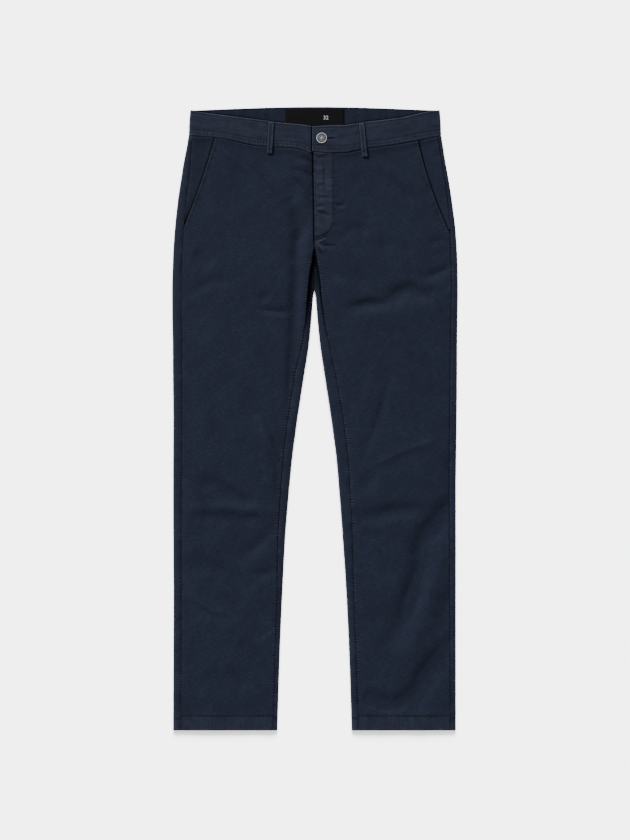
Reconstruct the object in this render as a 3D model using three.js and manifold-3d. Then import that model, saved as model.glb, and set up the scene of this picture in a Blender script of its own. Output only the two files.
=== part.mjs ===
// Chino trousers, laid flat on their back with the front up.
// Millimetres. X runs across the garment, Y from hem to waist, Z up from the table.
// The origin is on the table, under the middle of the outline.
// Left and right are the wearer's, so the left leg lies at +X.

import * as THREE from "three";
import { mergeVertices } from "three/addons/utils/BufferGeometryUtils.js";
import Module from "manifold-3d";

const { clamp, lerp, smoothstep } = THREE.MathUtils;

// Heights up the garment
const LENGTH = 1034;
const HEM_Y = -LENGTH / 2;
const BAND_DEPTH = 43;
const BAND_TOP_SIDE_Y = 512.4;
const BAND_RISE_BACK = 4.6; // how much higher the waistband's top is at the centre back
const SIDE_SEAM_TOP_Y = BAND_TOP_SIDE_Y - BAND_DEPTH; // where the band is sewn on, at the side folds
const CROTCH_Y = 270; // where the four leg panels meet
const GAP_TOP_Y = 212; // top of the space between the legs
const FLY_STOP_Y = 302; // foot of the fly's curved stitching
const UNDERLAP_Y = 297; // the right side runs on under the left one from here up
const CENTRE_X = -0.9; // seat seam

// Cloth walls and the space between pieces
const FRONT_CLOTH = 1.4;
const BACK_CLOTH = 1.3;
const FACING_CLOTH = 1.2;
const BAND_CLOTH = 2.2;
const GAP = 0.3;

// Hems
const HEM_DEPTH = 24;
const HEM_EXTRA = 0.5; // the turned-up layer, on each face
const STITCH_DIP = 0.4;

// Fly
const FLY_EDGE_X = -3.6;
const FLY_STITCH = 34; // from the fly's edge to the straight run of the curved stitching
const FLY_CURVE = 28; // height of the curve at its foot
const FLY_EXTRA = 0.7;
const UNDERLAP = 10; // how far the right side runs on under the left

// Waistband, which lies on the back belt loops
const BAND_LIFT = 1.6;
const BAND_SIDE_Z = 8;
const BAND_MIDDLE_Z = 9.9;
const BAND_SIDE_U = 209.5;
const BAND_ROLL = 4; // how far in from the side fold the waistband starts to turn

// Belt loops, button and woven label
const LOOP = { width: 9.4, cloth: 1.6, beltRoom: 1.1, foot: 6 };
const BACK_LOOP = { cloth: 1.3, y0: 461, sideX: 118 };
const BUTTON = { x: 11, y: 465.7, radius: 9, height: 3.4, holeRadius: 0.9, holeAt: 1.7 };
const LABEL = { width: 98, bottomY: 484, topY: 514.4, cloth: 0.5, inset: 1 };

// The garment's sections, from hem to waist. u is a distance from the middle line.
// outer and inner are the leg's edges; outseam and inseam are how far in from them the seams lie.
const LEFT_SECTIONS = [
  { y: -517, outer: 233.7, outseam: 9, inner: 61.3, inseam: 11.5 },
  { y: -400, outer: 233.6, outseam: 9, inner: 57.5, inseam: 11.5 },
  { y: -300, outer: 233.6, outseam: 9.5, inner: 53, inseam: 12 },
  { y: -200, outer: 233.7, outseam: 10, inner: 46.6, inseam: 15.5 },
  { y: -134, outer: 233.6, outseam: 10.5, inner: 41.7, inseam: 17.5 },
  { y: -68, outer: 234.2, outseam: 11, inner: 36.2, inseam: 19 },
  { y: 0, outer: 235.1, outseam: 11.3, inner: 27.4, inseam: 19.4 },
  { y: 65, outer: 235.6, outseam: 11.3, inner: 17.6, inseam: 18 },
  { y: 131, outer: 235.9, outseam: 11, inner: 8, inseam: 14 },
  { y: 172, outer: 236.4, outseam: 10.5, inner: 4, inseam: 11 },
  { y: 212, outer: 237, outseam: 10.5, inner: 0.4, inseam: 9.5 },
  { y: 215, outer: 237, outseam: 10.5, inner: -0.75, inseam: 10.4 },
  { y: 240, outer: 236.7, outseam: 10.2, inner: -0.75, inseam: 8 },
  { y: 270, outer: 235.9, outseam: 10, inner: -0.75, inseam: 3.6 },
  { y: 310, outer: 233.5, outseam: 9, inner: -0.75, inseam: 3.6 },
  { y: 363, outer: 227.1, outseam: 7, inner: -0.75, inseam: 3.6 },
  { y: 397, outer: 221.8, outseam: 6, inner: -0.75, inseam: 3.6 },
  { y: 430, outer: 215.8, outseam: 5.5, inner: -0.75, inseam: 3.6 },
  { y: 450, outer: 212.6, outseam: 5.5, inner: -0.75, inseam: 3.6 },
  { y: 469.4, outer: 209.5, outseam: 5.5, inner: -0.75, inseam: 3.6 },
];
const RIGHT_SECTIONS = [
  { y: -517, outer: 235.4, outseam: 13, inner: 62.9, inseam: 6.6 },
  { y: -400, outer: 234.9, outseam: 13, inner: 59.3, inseam: 7 },
  { y: -300, outer: 234.6, outseam: 13, inner: 55.1, inseam: 8 },
  { y: -200, outer: 235.1, outseam: 13.3, inner: 50, inseam: 11.5 },
  { y: -134, outer: 235.4, outseam: 13.6, inner: 44.8, inseam: 13.2 },
  { y: -68, outer: 235.2, outseam: 14, inner: 38.5, inseam: 14.5 },
  { y: 0, outer: 235, outseam: 14, inner: 29.7, inseam: 15 },
  { y: 65, outer: 235.6, outseam: 14.5, inner: 19.8, inseam: 15.5 },
  { y: 131, outer: 236.1, outseam: 15, inner: 9.8, inseam: 10 },
  { y: 172, outer: 236.8, outseam: 15, inner: 5.9, inseam: 8.8 },
  { y: 212, outer: 237, outseam: 15, inner: 2.3, inseam: 9.3 },
  { y: 215, outer: 237, outseam: 15, inner: 1.05, inseam: 10.3 },
  { y: 240, outer: 236.4, outseam: 15, inner: 1.05, inseam: 8 },
  { y: 270, outer: 235.5, outseam: 15, inner: 1.05, inseam: 3.6 },
  { y: 310, outer: 233, outseam: 14.8, inner: 1.05, inseam: 3.6 },
  { y: 363, outer: 227.4, outseam: 14, inner: 1.05, inseam: 3.6 },
  { y: 397, outer: 222.4, outseam: 13.5, inner: 1.05, inseam: 3.6 },
  { y: 430, outer: 217.1, outseam: 11, inner: 1.05, inseam: 3.6 },
  { y: 450, outer: 213, outseam: 8, inner: 1.05, inseam: 3.6 },
  { y: 469.4, outer: 209.5, outseam: 5.5, inner: 1.05, inseam: 3.6 },
];

// How high the front lies: in mid panel, at its seams, and at the leg's outer and inner folds.
const LOFT = [
  { y: -517, middle: 4.7, seam: 4.5, outerFold: 4.4, innerFold: 4.4 },
  { y: -480, middle: 5.8, seam: 4.8, outerFold: 4.6, innerFold: 4.6 },
  { y: -300, middle: 6.3, seam: 5.1, outerFold: 4.8, innerFold: 4.8 },
  { y: 0, middle: 6.5, seam: 5.2, outerFold: 4.9, innerFold: 5 },
  { y: 131, middle: 6.7, seam: 5.4, outerFold: 5, innerFold: 4.8 },
  { y: 212, middle: 6.9, seam: 5.6, outerFold: 5, innerFold: 4.2 },
  { y: 270, middle: 7, seam: 5.5, outerFold: 5.1, innerFold: 3.8 },
  { y: 400, middle: 7.3, seam: 6, outerFold: 5.4, innerFold: 3.8 },
  { y: 440, middle: 7.8, seam: 6.6, outerFold: 6.4, innerFold: 3.8 },
  { y: 469.4, middle: 8.2, seam: 7.4, outerFold: 7.3, innerFold: 3.8 },
];

// The front waistband's edges, which dip from the side folds to the button.
const LEFT_BAND = [
  { u: -4, top: 485, bottom: 443.8 },
  { u: 20, top: 486.8, bottom: 441 },
  { u: 48, top: 487.4, bottom: 441 },
  { u: 67, top: 489.8, bottom: 444.4 },
  { u: 89, top: 493.2, bottom: 448.8 },
  { u: 108, top: 495.2, bottom: 451 },
  { u: 142, top: 499.7, bottom: 456.3 },
  { u: 167, top: 505.3, bottom: 460.9 },
  { u: 192, top: 511, bottom: 465.9 },
  { u: 209.5, top: 512.4, bottom: 469.4 },
];
const RIGHT_BAND = [
  { u: -14, top: 484.4, bottom: 444.4 },
  { u: 3.9, top: 485.3, bottom: 444.4 },
  { u: 4.4, top: 485.4, bottom: 438.6 },
  { u: 17, top: 487.4, bottom: 445 },
  { u: 30, top: 489, bottom: 448 },
  { u: 48, top: 490.4, bottom: 449.9 },
  { u: 63, top: 491.9, bottom: 450.3 },
  { u: 94, top: 496.4, bottom: 452.8 },
  { u: 125, top: 500.2, bottom: 458.7 },
  { u: 146, top: 503, bottom: 463.6 },
  { u: 179, top: 507.4, bottom: 467.4 },
  { u: 209.5, top: 512.4, bottom: 469.4 },
];

// Folds in the front, each on a curve through three points [u, y].
// height is above the panel, or below it where negative; reach is the fold's half width.
const LEFT_FOLDS = [
  { name: "thigh trough", from: [50, 192], via: [85, 194], to: [118, 202], height: -2.6, reach: 7 },
  { name: "thigh trough, outer", from: [118, 204], via: [149, 219], to: [186, 210], height: -2.4, reach: 8 },
  { name: "hip crease", from: [183, 235], via: [202, 247], to: [220, 256], height: -1.5, reach: 7 },
  { name: "thigh swell", from: [58, 176], via: [133, 184], to: [214, 192], height: 1.3, reach: 14 },
  { name: "long ridge", from: [120, 90], via: [95, 23], to: [70, -52], height: 1.6, reach: 10 },
  { name: "long trough", from: [133, 85], via: [107, 15], to: [84, -52], height: -1.1, reach: 9 },
  { name: "knee ridge", from: [198, -30], via: [146, -45], to: [97, -70], height: 1.5, reach: 8 },
  { name: "knee trough", from: [141, -61], via: [108, -80], to: [74, -106], height: -1.4, reach: 9 },
  { name: "knee crease", from: [183, -139], via: [138, -144], to: [68, -156], height: -1.9, reach: 9 },
  { name: "knee swell", from: [141, -169], via: [100, -170], to: [60, -167], height: 1, reach: 11 },
  { name: "calf trough", from: [224, -140], via: [176, -214], to: [140, -337], height: -3, reach: 12 },
  { name: "calf swell", from: [222, -193], via: [193, -254], to: [157, -384], height: 2.1, reach: 17 },
  { name: "shin trough", from: [222, -357], via: [181, -427], to: [149, -460], height: -2.8, reach: 10 },
  { name: "shin hook", from: [150, -460], via: [121, -471], to: [80, -457], height: -2.2, reach: 9 },
  { name: "shin dent", from: [128, -325], via: [117, -350], to: [105, -375], height: -0.9, reach: 11 },
  { name: "hip slant", from: [100, 421], via: [138, 392], to: [172, 367], height: -1.1, reach: 8 },
  { name: "front dent", from: [55, 338], via: [70, 321], to: [85, 304], height: -0.9, reach: 10 },
  { name: "crotch pucker", from: [4, 282], via: [18, 270], to: [32, 259], height: -1.2, reach: 5 },
  { name: "crotch sweep", from: [9, 260], via: [50, 239], to: [108, 226], height: -1, reach: 10 },
];
const RIGHT_FOLDS = [
  { name: "hip slant", from: [143, 436], via: [125, 416], to: [108, 393], height: -1.1, reach: 8 },
  { name: "fly pucker, upper", from: [50, 421], via: [28, 410], to: [7, 397], height: -0.9, reach: 5 },
  { name: "fly pucker, lower", from: [30, 392], via: [18, 382], to: [6, 370], height: -0.9, reach: 5 },
  { name: "inner thigh trough", from: [40, 363], via: [35, 280], to: [41, 178], height: -2.5, reach: 9 },
  { name: "inner thigh groove", from: [41, 178], via: [43, 131], to: [43, 80], height: -1.6, reach: 7 },
  { name: "inner thigh ridge", from: [15, 338], via: [23, 239], to: [30, 123], height: 1, reach: 9 },
  { name: "thigh crease", from: [97, 189], via: [70, 184], to: [42, 181], height: -1.5, reach: 6 },
  { name: "side crease", from: [212, 217], via: [183, 232], to: [155, 242], height: -0.9, reach: 7 },
  { name: "long ridge", from: [107, 18], via: [88, -22], to: [66, -63], height: 1.5, reach: 8 },
  { name: "long trough", from: [90, -58], via: [77, -81], to: [66, -101], height: -1.4, reach: 8 },
  { name: "knee trough", from: [214, -91], via: [151, -111], to: [108, -133], height: -1.8, reach: 10 },
  { name: "knee ridge", from: [198, -143], via: [149, -139], to: [69, -149], height: 1.7, reach: 9 },
  { name: "knee crease", from: [214, -158], via: [154, -164], to: [108, -156], height: -1.9, reach: 8 },
  { name: "calf trough", from: [74, -158], via: [111, -208], to: [139, -241], height: -1.6, reach: 9 },
  { name: "calf ridge", from: [88, -204], via: [111, -222], to: [136, -249], height: 1, reach: 9 },
  { name: "calf nick", from: [103, -251], via: [89, -250], to: [75, -247], height: -1.3, reach: 7 },
  { name: "shin sweep", from: [215, -221], via: [149, -259], to: [89, -353], height: -1.3, reach: 13 },
  { name: "shin swell", from: [205, -281], via: [164, -314], to: [128, -367], height: 1.1, reach: 13 },
  { name: "shin dent", from: [186, -407], via: [154, -420], to: [122, -433], height: -0.9, reach: 10 },
];
const LEAST_FRONT_Z = 3.8;

// How finely the cloth is divided
const FOLD_STEPS = 10;
const FRONT_ROWS = [
  { to: -513, rows: 1 },
  { to: -497.5, rows: 1 },
  { to: -491.5, rows: 2 },
  { to: -400, rows: 8 },
  { to: -175, rows: 16 },
  { to: -30, rows: 15 },
  { to: 130, rows: 7 },
  { to: 175, rows: 2 },
  { to: 255, rows: 8 },
  { to: CROTCH_Y + GAP, rows: 1 },
  { to: UNDERLAP_Y, rows: 2 },
  { to: UNDERLAP_Y + 14, rows: 1 },
  { to: FLY_STOP_Y + FLY_CURVE, rows: 2 },
  { to: 440, rows: 6 },
  { to: SIDE_SEAM_TOP_Y, rows: 2 },
];
const BACK_ROWS = [
  { to: -497.5, rows: 1 },
  { to: -491.5, rows: 1 },
  { to: -175, rows: 6 },
  { to: -30, rows: 5 },
  { to: 130, rows: 7 },
  { to: 175, rows: 2 },
  { to: 255, rows: 4 },
  { to: CROTCH_Y, rows: 1 },
  { to: CROTCH_Y + 3, rows: 1 },
  { to: 440, rows: 4 },
  { to: SIDE_SEAM_TOP_Y, rows: 2 },
];
const FRONT_COLUMNS = 17;
const FOLD_TURN = [60, 0, -60]; // degrees at which a folded edge is divided
const BAND_TURN = [70, 35, 0, -35, -70];

const NAVY = { color: 0x21273a, roughness: 0.9, metalness: 0 };
const COLOURS = {
  cloth: NAVY,
  band: { ...NAVY, color: 0x242a3b },
  loop: { ...NAVY, color: 0x272d3c },
  label: { color: 0x0c0c0e, roughness: 0.5, metalness: 0 },
  button: { color: 0x8d909a, roughness: 0.4, metalness: 0 },
};

/** A function of `by` on a smooth curve through a table's rows, which never overshoots them. */
function curve(table, column, by = "y") {
  const x = table.map((row) => row[by]);
  const v = table.map((row) => row[column]);
  const secant = x.slice(1).map((xi, i) => (v[i + 1] - v[i]) / (xi - x[i]));
  const slope = x.map((_, i) => {
    if (i === 0) return secant[0];
    if (i === x.length - 1) return secant[i - 1];
    const product = secant[i - 1] * secant[i];
    return product <= 0 ? 0 : (2 * product) / (secant[i - 1] + secant[i]);
  });
  return (at) => {
    const here = clamp(at, x[0], x[x.length - 1]);
    let i = 0;
    while (i < x.length - 2 && here > x[i + 1]) i++;
    const step = x[i + 1] - x[i];
    const t = (here - x[i]) / step;
    const bend = t * t * (3 - 2 * t);
    const tail = slope[i] * t * (1 - t) * (1 - t) - slope[i + 1] * t * t * (1 - t);
    return v[i] + (v[i + 1] - v[i]) * bend + step * tail;
  };
}

const loft = {
  middle: curve(LOFT, "middle"),
  seam: curve(LOFT, "seam"),
  outerFold: curve(LOFT, "outerFold"),
  innerFold: curve(LOFT, "innerFold"),
};

/** One half of the garment: its tables as functions of y, and its slant pocket. */
function makeSide({ name, sign, sections, band, bandFromU, folds, pocket }) {
  const outer = curve(sections, "outer");
  const inner = curve(sections, "inner");
  const outseamIn = curve(sections, "outseam");
  const inseamIn = curve(sections, "inseam");
  const outseam = (y) => outer(y) - outseamIn(y);
  const footU = outseam(pocket.footY);
  return {
    name,
    sign,
    outer,
    inner,
    outseam,
    inseam: (y) => inner(y) + inseamIn(y),
    bandTop: curve(band, "top", "u"),
    bandBottom: curve(band, "bottom", "u"),
    bandFromU,
    folds: folds.map(foldCurve),
    pocket,
    // The pocket's opening, from the waistband down to the outseam, bowed a little inwards.
    pocketEdge: (y) => {
      const t = (pocket.topY - y) / (pocket.topY - pocket.footY);
      return lerp(pocket.topU, footU, t) - pocket.bow * 4 * t * (1 - t);
    },
  };
}

/** A fold's curve as points, with the share of its height at each. */
function foldCurve({ from, via, to, height, reach }) {
  const bend = [0, 1].map((k) => 2 * via[k] - (from[k] + to[k]) / 2);
  const points = [];
  for (let i = 0; i <= FOLD_STEPS; i++) {
    const t = i / FOLD_STEPS;
    points.push([0, 1].map((k) => (1 - t) ** 2 * from[k] + 2 * t * (1 - t) * bend[k] + t * t * to[k]));
  }
  return { points, height, reach };
}

/** What a fold adds to the front's height at (u, y). */
function foldHeight({ points, height, reach }, u, y) {
  let nearest = Infinity;
  let along = 0;
  for (let i = 0; i < points.length - 1; i++) {
    const [ax, ay] = points[i];
    const [dx, dy] = [points[i + 1][0] - ax, points[i + 1][1] - ay];
    const t = clamp(((u - ax) * dx + (y - ay) * dy) / (dx * dx + dy * dy), 0, 1);
    const distance = Math.hypot(u - ax - t * dx, y - ay - t * dy);
    if (distance < nearest) {
      nearest = distance;
      along = (i + t) / (points.length - 1);
    }
  }
  const far = (nearest / reach) ** 2;
  const fade = 0.35 + 0.65 * Math.sin(Math.PI * along) ** 0.7;
  return height * fade * (1 - 0.35 * far) * Math.exp(-far / 2 - far * far * 0.05);
}

/** The top of the front cloth at (u, y), without its edges and stitching. */
function frontZ(side, u, y) {
  const middle = loft.middle(y);
  const seam = loft.seam(y);
  const fromOutseam = Math.max(side.outseam(y) - u, 0);
  const fromInseam = Math.max(u - side.inseam(y), 0);
  const inseamShare = 1 - smoothstep(y, GAP_TOP_Y, CROTCH_Y + 20);
  let z = middle - (middle - seam) * Math.exp(-fromOutseam / 20);
  z -= (middle - seam) * inseamShare * Math.exp(-fromInseam / 20);
  const nearSeam = Math.min(fromOutseam, y < CROTCH_Y ? fromInseam : Infinity);
  const free = smoothstep(nearSeam, -6, 14);
  for (const fold of side.folds) z += free * foldHeight(fold, u, y);
  return LEAST_FRONT_Z + softPlus(z - LEAST_FRONT_Z);
}

/** x where x is well above 0, and 0 where it is well below. */
function softPlus(x) {
  const softness = 0.35;
  return softness * Math.log1p(Math.exp(x / softness));
}

/** A closed cloth wall over a grid, with its two faces and its rim. has says which cells are cloth. */
function clothWall(rows, columns, face, has = () => true) {
  const positions = [];
  const outerAt = [];
  const innerAt = [];
  const point = (list, i, j, p) => {
    list[i * (columns + 1) + j] = positions.length / 3;
    positions.push(...p);
  };
  for (let i = 0; i <= rows; i++)
    for (let j = 0; j <= columns; j++) {
      const { outer, inner } = face(i, j);
      point(outerAt, i, j, outer);
      point(innerAt, i, j, inner);
    }
  const index = [];
  const id = (list, [i, j]) => list[i * (columns + 1) + j];
  const distance = (a, b) =>
    Math.hypot(...[0, 1, 2].map((k) => positions[3 * a + k] - positions[3 * b + k]));
  const quad = (a, b, c, d) => {
    if (distance(a, c) <= distance(b, d)) index.push(a, b, c, a, c, d);
    else index.push(a, b, d, b, c, d);
  };
  const cloth = (i, j) => i >= 0 && j >= 0 && i < rows && j < columns && has(i, j);
  for (let i = 0; i < rows; i++)
    for (let j = 0; j < columns; j++) {
      if (!cloth(i, j)) continue;
      const corners = [[i, j], [i, j + 1], [i + 1, j + 1], [i + 1, j]];
      const outside = corners.map((c) => id(outerAt, c));
      const inside = corners.map((c) => id(innerAt, c));
      quad(...outside);
      quad(inside[3], inside[2], inside[1], inside[0]);
      [[i - 1, j], [i, j + 1], [i + 1, j], [i, j - 1]].forEach(([ni, nj], k) => {
        if (cloth(ni, nj)) return;
        const next = (k + 1) % 4;
        quad(outside[next], outside[k], inside[k], inside[next]);
      });
    }
  return facingOut(positions, index);
}

/** An indexed geometry whose faces point out, whichever way round its grid ran. */
function facingOut(positions, index) {
  const [a, b, c] = [0, 1, 2].map(() => new THREE.Vector3());
  let volume = 0;
  for (let i = 0; i < index.length; i += 3) {
    [a, b, c].forEach((v, k) => v.fromArray(positions, 3 * index[i + k]));
    volume += a.dot(b.cross(c));
  }
  if (volume < 0) index.reverse();
  const geometry = new THREE.BufferGeometry();
  geometry.setAttribute("position", new THREE.Float32BufferAttribute(positions, 3));
  geometry.setIndex(index);
  geometry.computeVertexNormals();
  return geometry;
}

/** Heights from the hem up, divided as the zones say. */
function rowHeights(zones) {
  const heights = [HEM_Y];
  for (const { to, rows } of zones) {
    const from = heights[heights.length - 1];
    for (let i = 1; i <= rows; i++) heights.push(lerp(from, to, i / rows));
  }
  return heights;
}

/** A row's height at u, so that the top rows follow the seam at the waistband. */
function bentRow(y, seamY) {
  const share = smoothstep(y, 330, SIDE_SEAM_TOP_Y);
  return y + (seamY - SIDE_SEAM_TOP_Y) * share;
}

/** How far below the cloth's free surface a folded or stitched edge lies, d from the edge. */
const edgeDip = (d, dip) => dip * Math.exp(-((d / 1.8) ** 2));

/** The hem's turned-up layer: how much thicker each face is at y. */
const hemExtra = (y) => HEM_EXTRA * (1 - smoothstep(y, HEM_Y + HEM_DEPTH, HEM_Y + HEM_DEPTH + 2));

/** The dip of the stitching along the top of the hem. */
const hemStitch = (y) => STITCH_DIP * Math.exp(-(((y - HEM_Y - HEM_DEPTH + 1.5) / 1.6) ** 2));

/** How far below the waist seam's level the table is: the back rises to the waistband. */
const backLift = (y) => BAND_LIFT * smoothstep(y, 425, 457);

/** The fly's edge, at the top of the left side. */
const flyEdge = (y) => FLY_EDGE_X + 1.6 * smoothstep(-y, -440, -CROTCH_Y);

/** Where (d from the fly's edge, y) lies against the fly's curved stitching: negative is inside. */
function fromFlyStitch(d, y) {
  if (y > FLY_STOP_Y + FLY_CURVE) return d - FLY_STITCH;
  const down = (FLY_STOP_Y + FLY_CURVE - y) / FLY_CURVE;
  return (Math.hypot(d / FLY_STITCH, down) - 1) * FLY_CURVE;
}

/** The left front's extra layer behind the fly's stitching. */
function flyRelief(d, y) {
  const off = fromFlyStitch(d, y);
  return FLY_EXTRA * (1 - smoothstep(off, -2, 2)) - STITCH_DIP * Math.exp(-((off / 2) ** 2));
}

/** A front panel's inner edge: the fly or crotch seam above the crotch, and the inseam below. */
function frontInnerEdge(side, y) {
  const seam = side.inseam(y) + GAP / 2;
  const fly = side.sign * flyEdge(y) + (side.sign < 0 ? GAP : 0);
  return lerp(seam, fly, smoothstep(y, CROTCH_Y + GAP, CROTCH_Y + 12));
}

/** A front panel's outer edge: the pocket's opening above its foot, and the outseam below. */
function frontOuterEdge(side, y) {
  const seam = side.outseam(y) - GAP / 2;
  return y > side.pocket.footY ? Math.min(seam, side.pocketEdge(y)) : seam;
}

/** Where a front panel's columns lie at y: evenly on the leg, and closer at the fly above it. */
function frontColumns(side, y) {
  const inner = frontInnerEdge(side, y);
  const width = frontOuterEdge(side, y) - inner;
  const under = side.sign < 0 ? smoothstep(y, UNDERLAP_Y, UNDERLAP_Y + 12) : 0;
  const atFly =
    side.sign > 0
      ? [0, 2.5, 12, 22, 31, FLY_STITCH, 37.5]
      : [-UNDERLAP * under, lerp(3, 0.2, under), lerp(8, 3.5, under), 12, 22, 32];
  const atPocket = [width - 7, width - 2, width];
  const from = atFly[atFly.length - 1];
  const between = FRONT_COLUMNS - atFly.length - atPocket.length;
  const middle = [];
  for (let k = 1; k <= between; k++) middle.push(lerp(from, width - 7, k / (between + 1)));
  const above = [...atFly, ...middle, ...atPocket];
  const onLeg = above.map((_, k) => {
    if (k === 0 || k === FRONT_COLUMNS - 1) return k === 0 ? 0 : width;
    return lerp(2.5, width - 2.5, (k - 1) / (FRONT_COLUMNS - 3));
  });
  const legShare = 1 - smoothstep(y, GAP_TOP_Y, CROTCH_Y);
  return above.map((d, k) => inner + lerp(d, onLeg[k], legShare));
}

/** A front panel, from the hem to the waistband. */
function frontPanel(side) {
  const heights = rowHeights(FRONT_ROWS);
  return clothWall(heights.length - 1, FRONT_COLUMNS - 1, (i, j) => {
    const flatU = frontColumns(side, heights[i])[j];
    const y = bentRow(heights[i], side.bandBottom(Math.max(flatU, side.bandFromU)) - GAP);
    const u = frontColumns(side, y)[j];
    const base = side.sign > 0 ? frontZ(side, u, y) : underlappingZ(u, y);
    const fromInner = u - frontInnerEdge(side, y);
    const dip = edgeDip(Math.max(fromInner, 0), 0.3) + edgeDip(frontOuterEdge(side, y) - u, 0.35);
    const relief = side.sign > 0 ? flyRelief(fromInner, y) : 0;
    const top = base + relief + hemExtra(y) - hemStitch(y) - dip;
    return {
      outer: [side.sign * u, y, top],
      inner: [side.sign * u, y, base - FRONT_CLOTH - hemExtra(y)],
    };
  });
}

/** The right front's height, which drops at the fly to run on under the left front. */
function underlappingZ(u, y) {
  const own = frontZ(right, u, y);
  const fromEdge = u - frontInnerEdge(right, y);
  const share = smoothstep(y, CROTCH_Y + 14, UNDERLAP_Y) * (1 - smoothstep(fromEdge, 0.2, 3.5));
  const under = Math.min(own, frontZ(left, Math.max(-u, left.bandFromU), y)) - FRONT_CLOTH - GAP;
  return lerp(own, under, share);
}

/** A back panel: the underside, with both edges turned over onto the front as far as the seams. */
function backPanel(side) {
  const heights = rowHeights(BACK_ROWS);
  const bottomCells = 4;
  const stripColumns = FOLD_TURN.length + 2;
  // Columns run from the outseam round the outer fold, along the table, and round the inner fold.
  const section = (y) => {
    const to = y > CROTCH_Y ? side.sign * CENTRE_X + GAP / 2 : side.inner(y) + 3;
    const from = side.outer(y) - 3.4;
    const bottom = [];
    for (let k = 0; k <= bottomCells; k++) {
      const u = lerp(from, to, k / bottomCells);
      bottom.push({ outer: [u, backLift(y)], inner: [u, backLift(y) + BACK_CLOTH + hemExtra(y)] });
    }
    const outerSeam = side.outseam(y) + GAP / 2;
    const innerSeam = side.inseam(y) - GAP / 2;
    return [
      ...turnedStrip(side, y, side.outer(y), outerSeam, loft.outerFold(y)),
      ...bottom,
      ...turnedStrip(side, y, side.inner(y), innerSeam, loft.innerFold(y)).reverse(),
    ];
  };
  return clothWall(
    heights.length - 1,
    2 * stripColumns + bottomCells,
    (i, j) => {
      const flatU = section(heights[i])[j].outer[0];
      const seamY = j < stripColumns ? side.bandBottom(flatU) : backBandTop(flatU) - BAND_DEPTH;
      const y = bentRow(heights[i], seamY - GAP);
      const { outer, inner } = section(y)[j];
      return {
        outer: [side.sign * outer[0], y, outer[1]],
        inner: [side.sign * inner[0], y, inner[1]],
      };
    },
    (i, j) => j < stripColumns + bottomCells || heights[i + 1] <= CROTCH_Y,
  );
}

/** The back cloth from a seam on the front to round the leg's folded edge, at y. */
function turnedStrip(side, y, edge, seam, foldZ) {
  const inward = Math.sign(seam - edge);
  const lift = backLift(y);
  const thick = BACK_CLOTH + hemExtra(y);
  const roll = Math.min(3.4, Math.abs(seam - edge) - 1.2);
  const turnU = edge + inward * roll;
  const seamZ = frontZ(side, seam, y) - 0.25;
  const strip = [0, 0.5].map((t) => {
    const u = lerp(seam, turnU, t);
    const z = lerp(seamZ, foldZ, t) + hemExtra(y) - hemStitch(y);
    return { outer: [u, z], inner: [u, z - thick] };
  });
  const half = (foldZ - lift) / 2;
  const fold = FOLD_TURN.map((degrees) => {
    const angle = THREE.MathUtils.degToRad(degrees);
    const at = (depth) => [
      turnU - inward * (roll - depth) * Math.cos(angle),
      lift + half + (half - depth) * Math.sin(angle),
    ];
    return { outer: at(0), inner: at(thick) };
  });
  return [...strip, ...fold];
}

/** The top edge of the back waistband, which crowns at the centre back. */
function backBandTop(u) {
  const across = clamp(Math.abs(u) / BAND_SIDE_U, 0, 1);
  return BAND_TOP_SIDE_Y + BAND_RISE_BACK * Math.cos((across * Math.PI) / 2) ** 2;
}

/** The facing that shows in the pocket's opening and runs on under the front. */
function pocketFacing(side) {
  const rows = 9;
  const level = FRONT_CLOTH + GAP;
  const columnsAt = (y) => {
    const edge = side.pocketEdge(y);
    const seam = side.outseam(y) - GAP / 2;
    return [edge - 9, edge - 2, edge + 1, lerp(edge + 1, seam, 0.4), lerp(edge + 1, seam, 0.75), seam];
  };
  return clothWall(rows, 5, (i, j) => {
    const flatY = lerp(side.pocket.footY + 6, SIDE_SEAM_TOP_Y, i / rows);
    const y = bentRow(flatY, side.bandBottom(columnsAt(flatY)[j]) - GAP);
    const u = columnsAt(y)[j];
    const edge = side.pocketEdge(y);
    const rise = (level - 0.2) * smoothstep(u, edge + 1, Math.max(side.outseam(y) - 0.5, edge + 3));
    const z = frontZ(side, u, y) - level + rise;
    return { outer: [side.sign * u, y, z], inner: [side.sign * u, y, z - FACING_CLOTH] };
  });
}

/** How high the front waistband lies at u. */
const bandZ = (u) => lerp(BAND_MIDDLE_Z, BAND_SIDE_Z, smoothstep(u, 120, 200));

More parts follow.
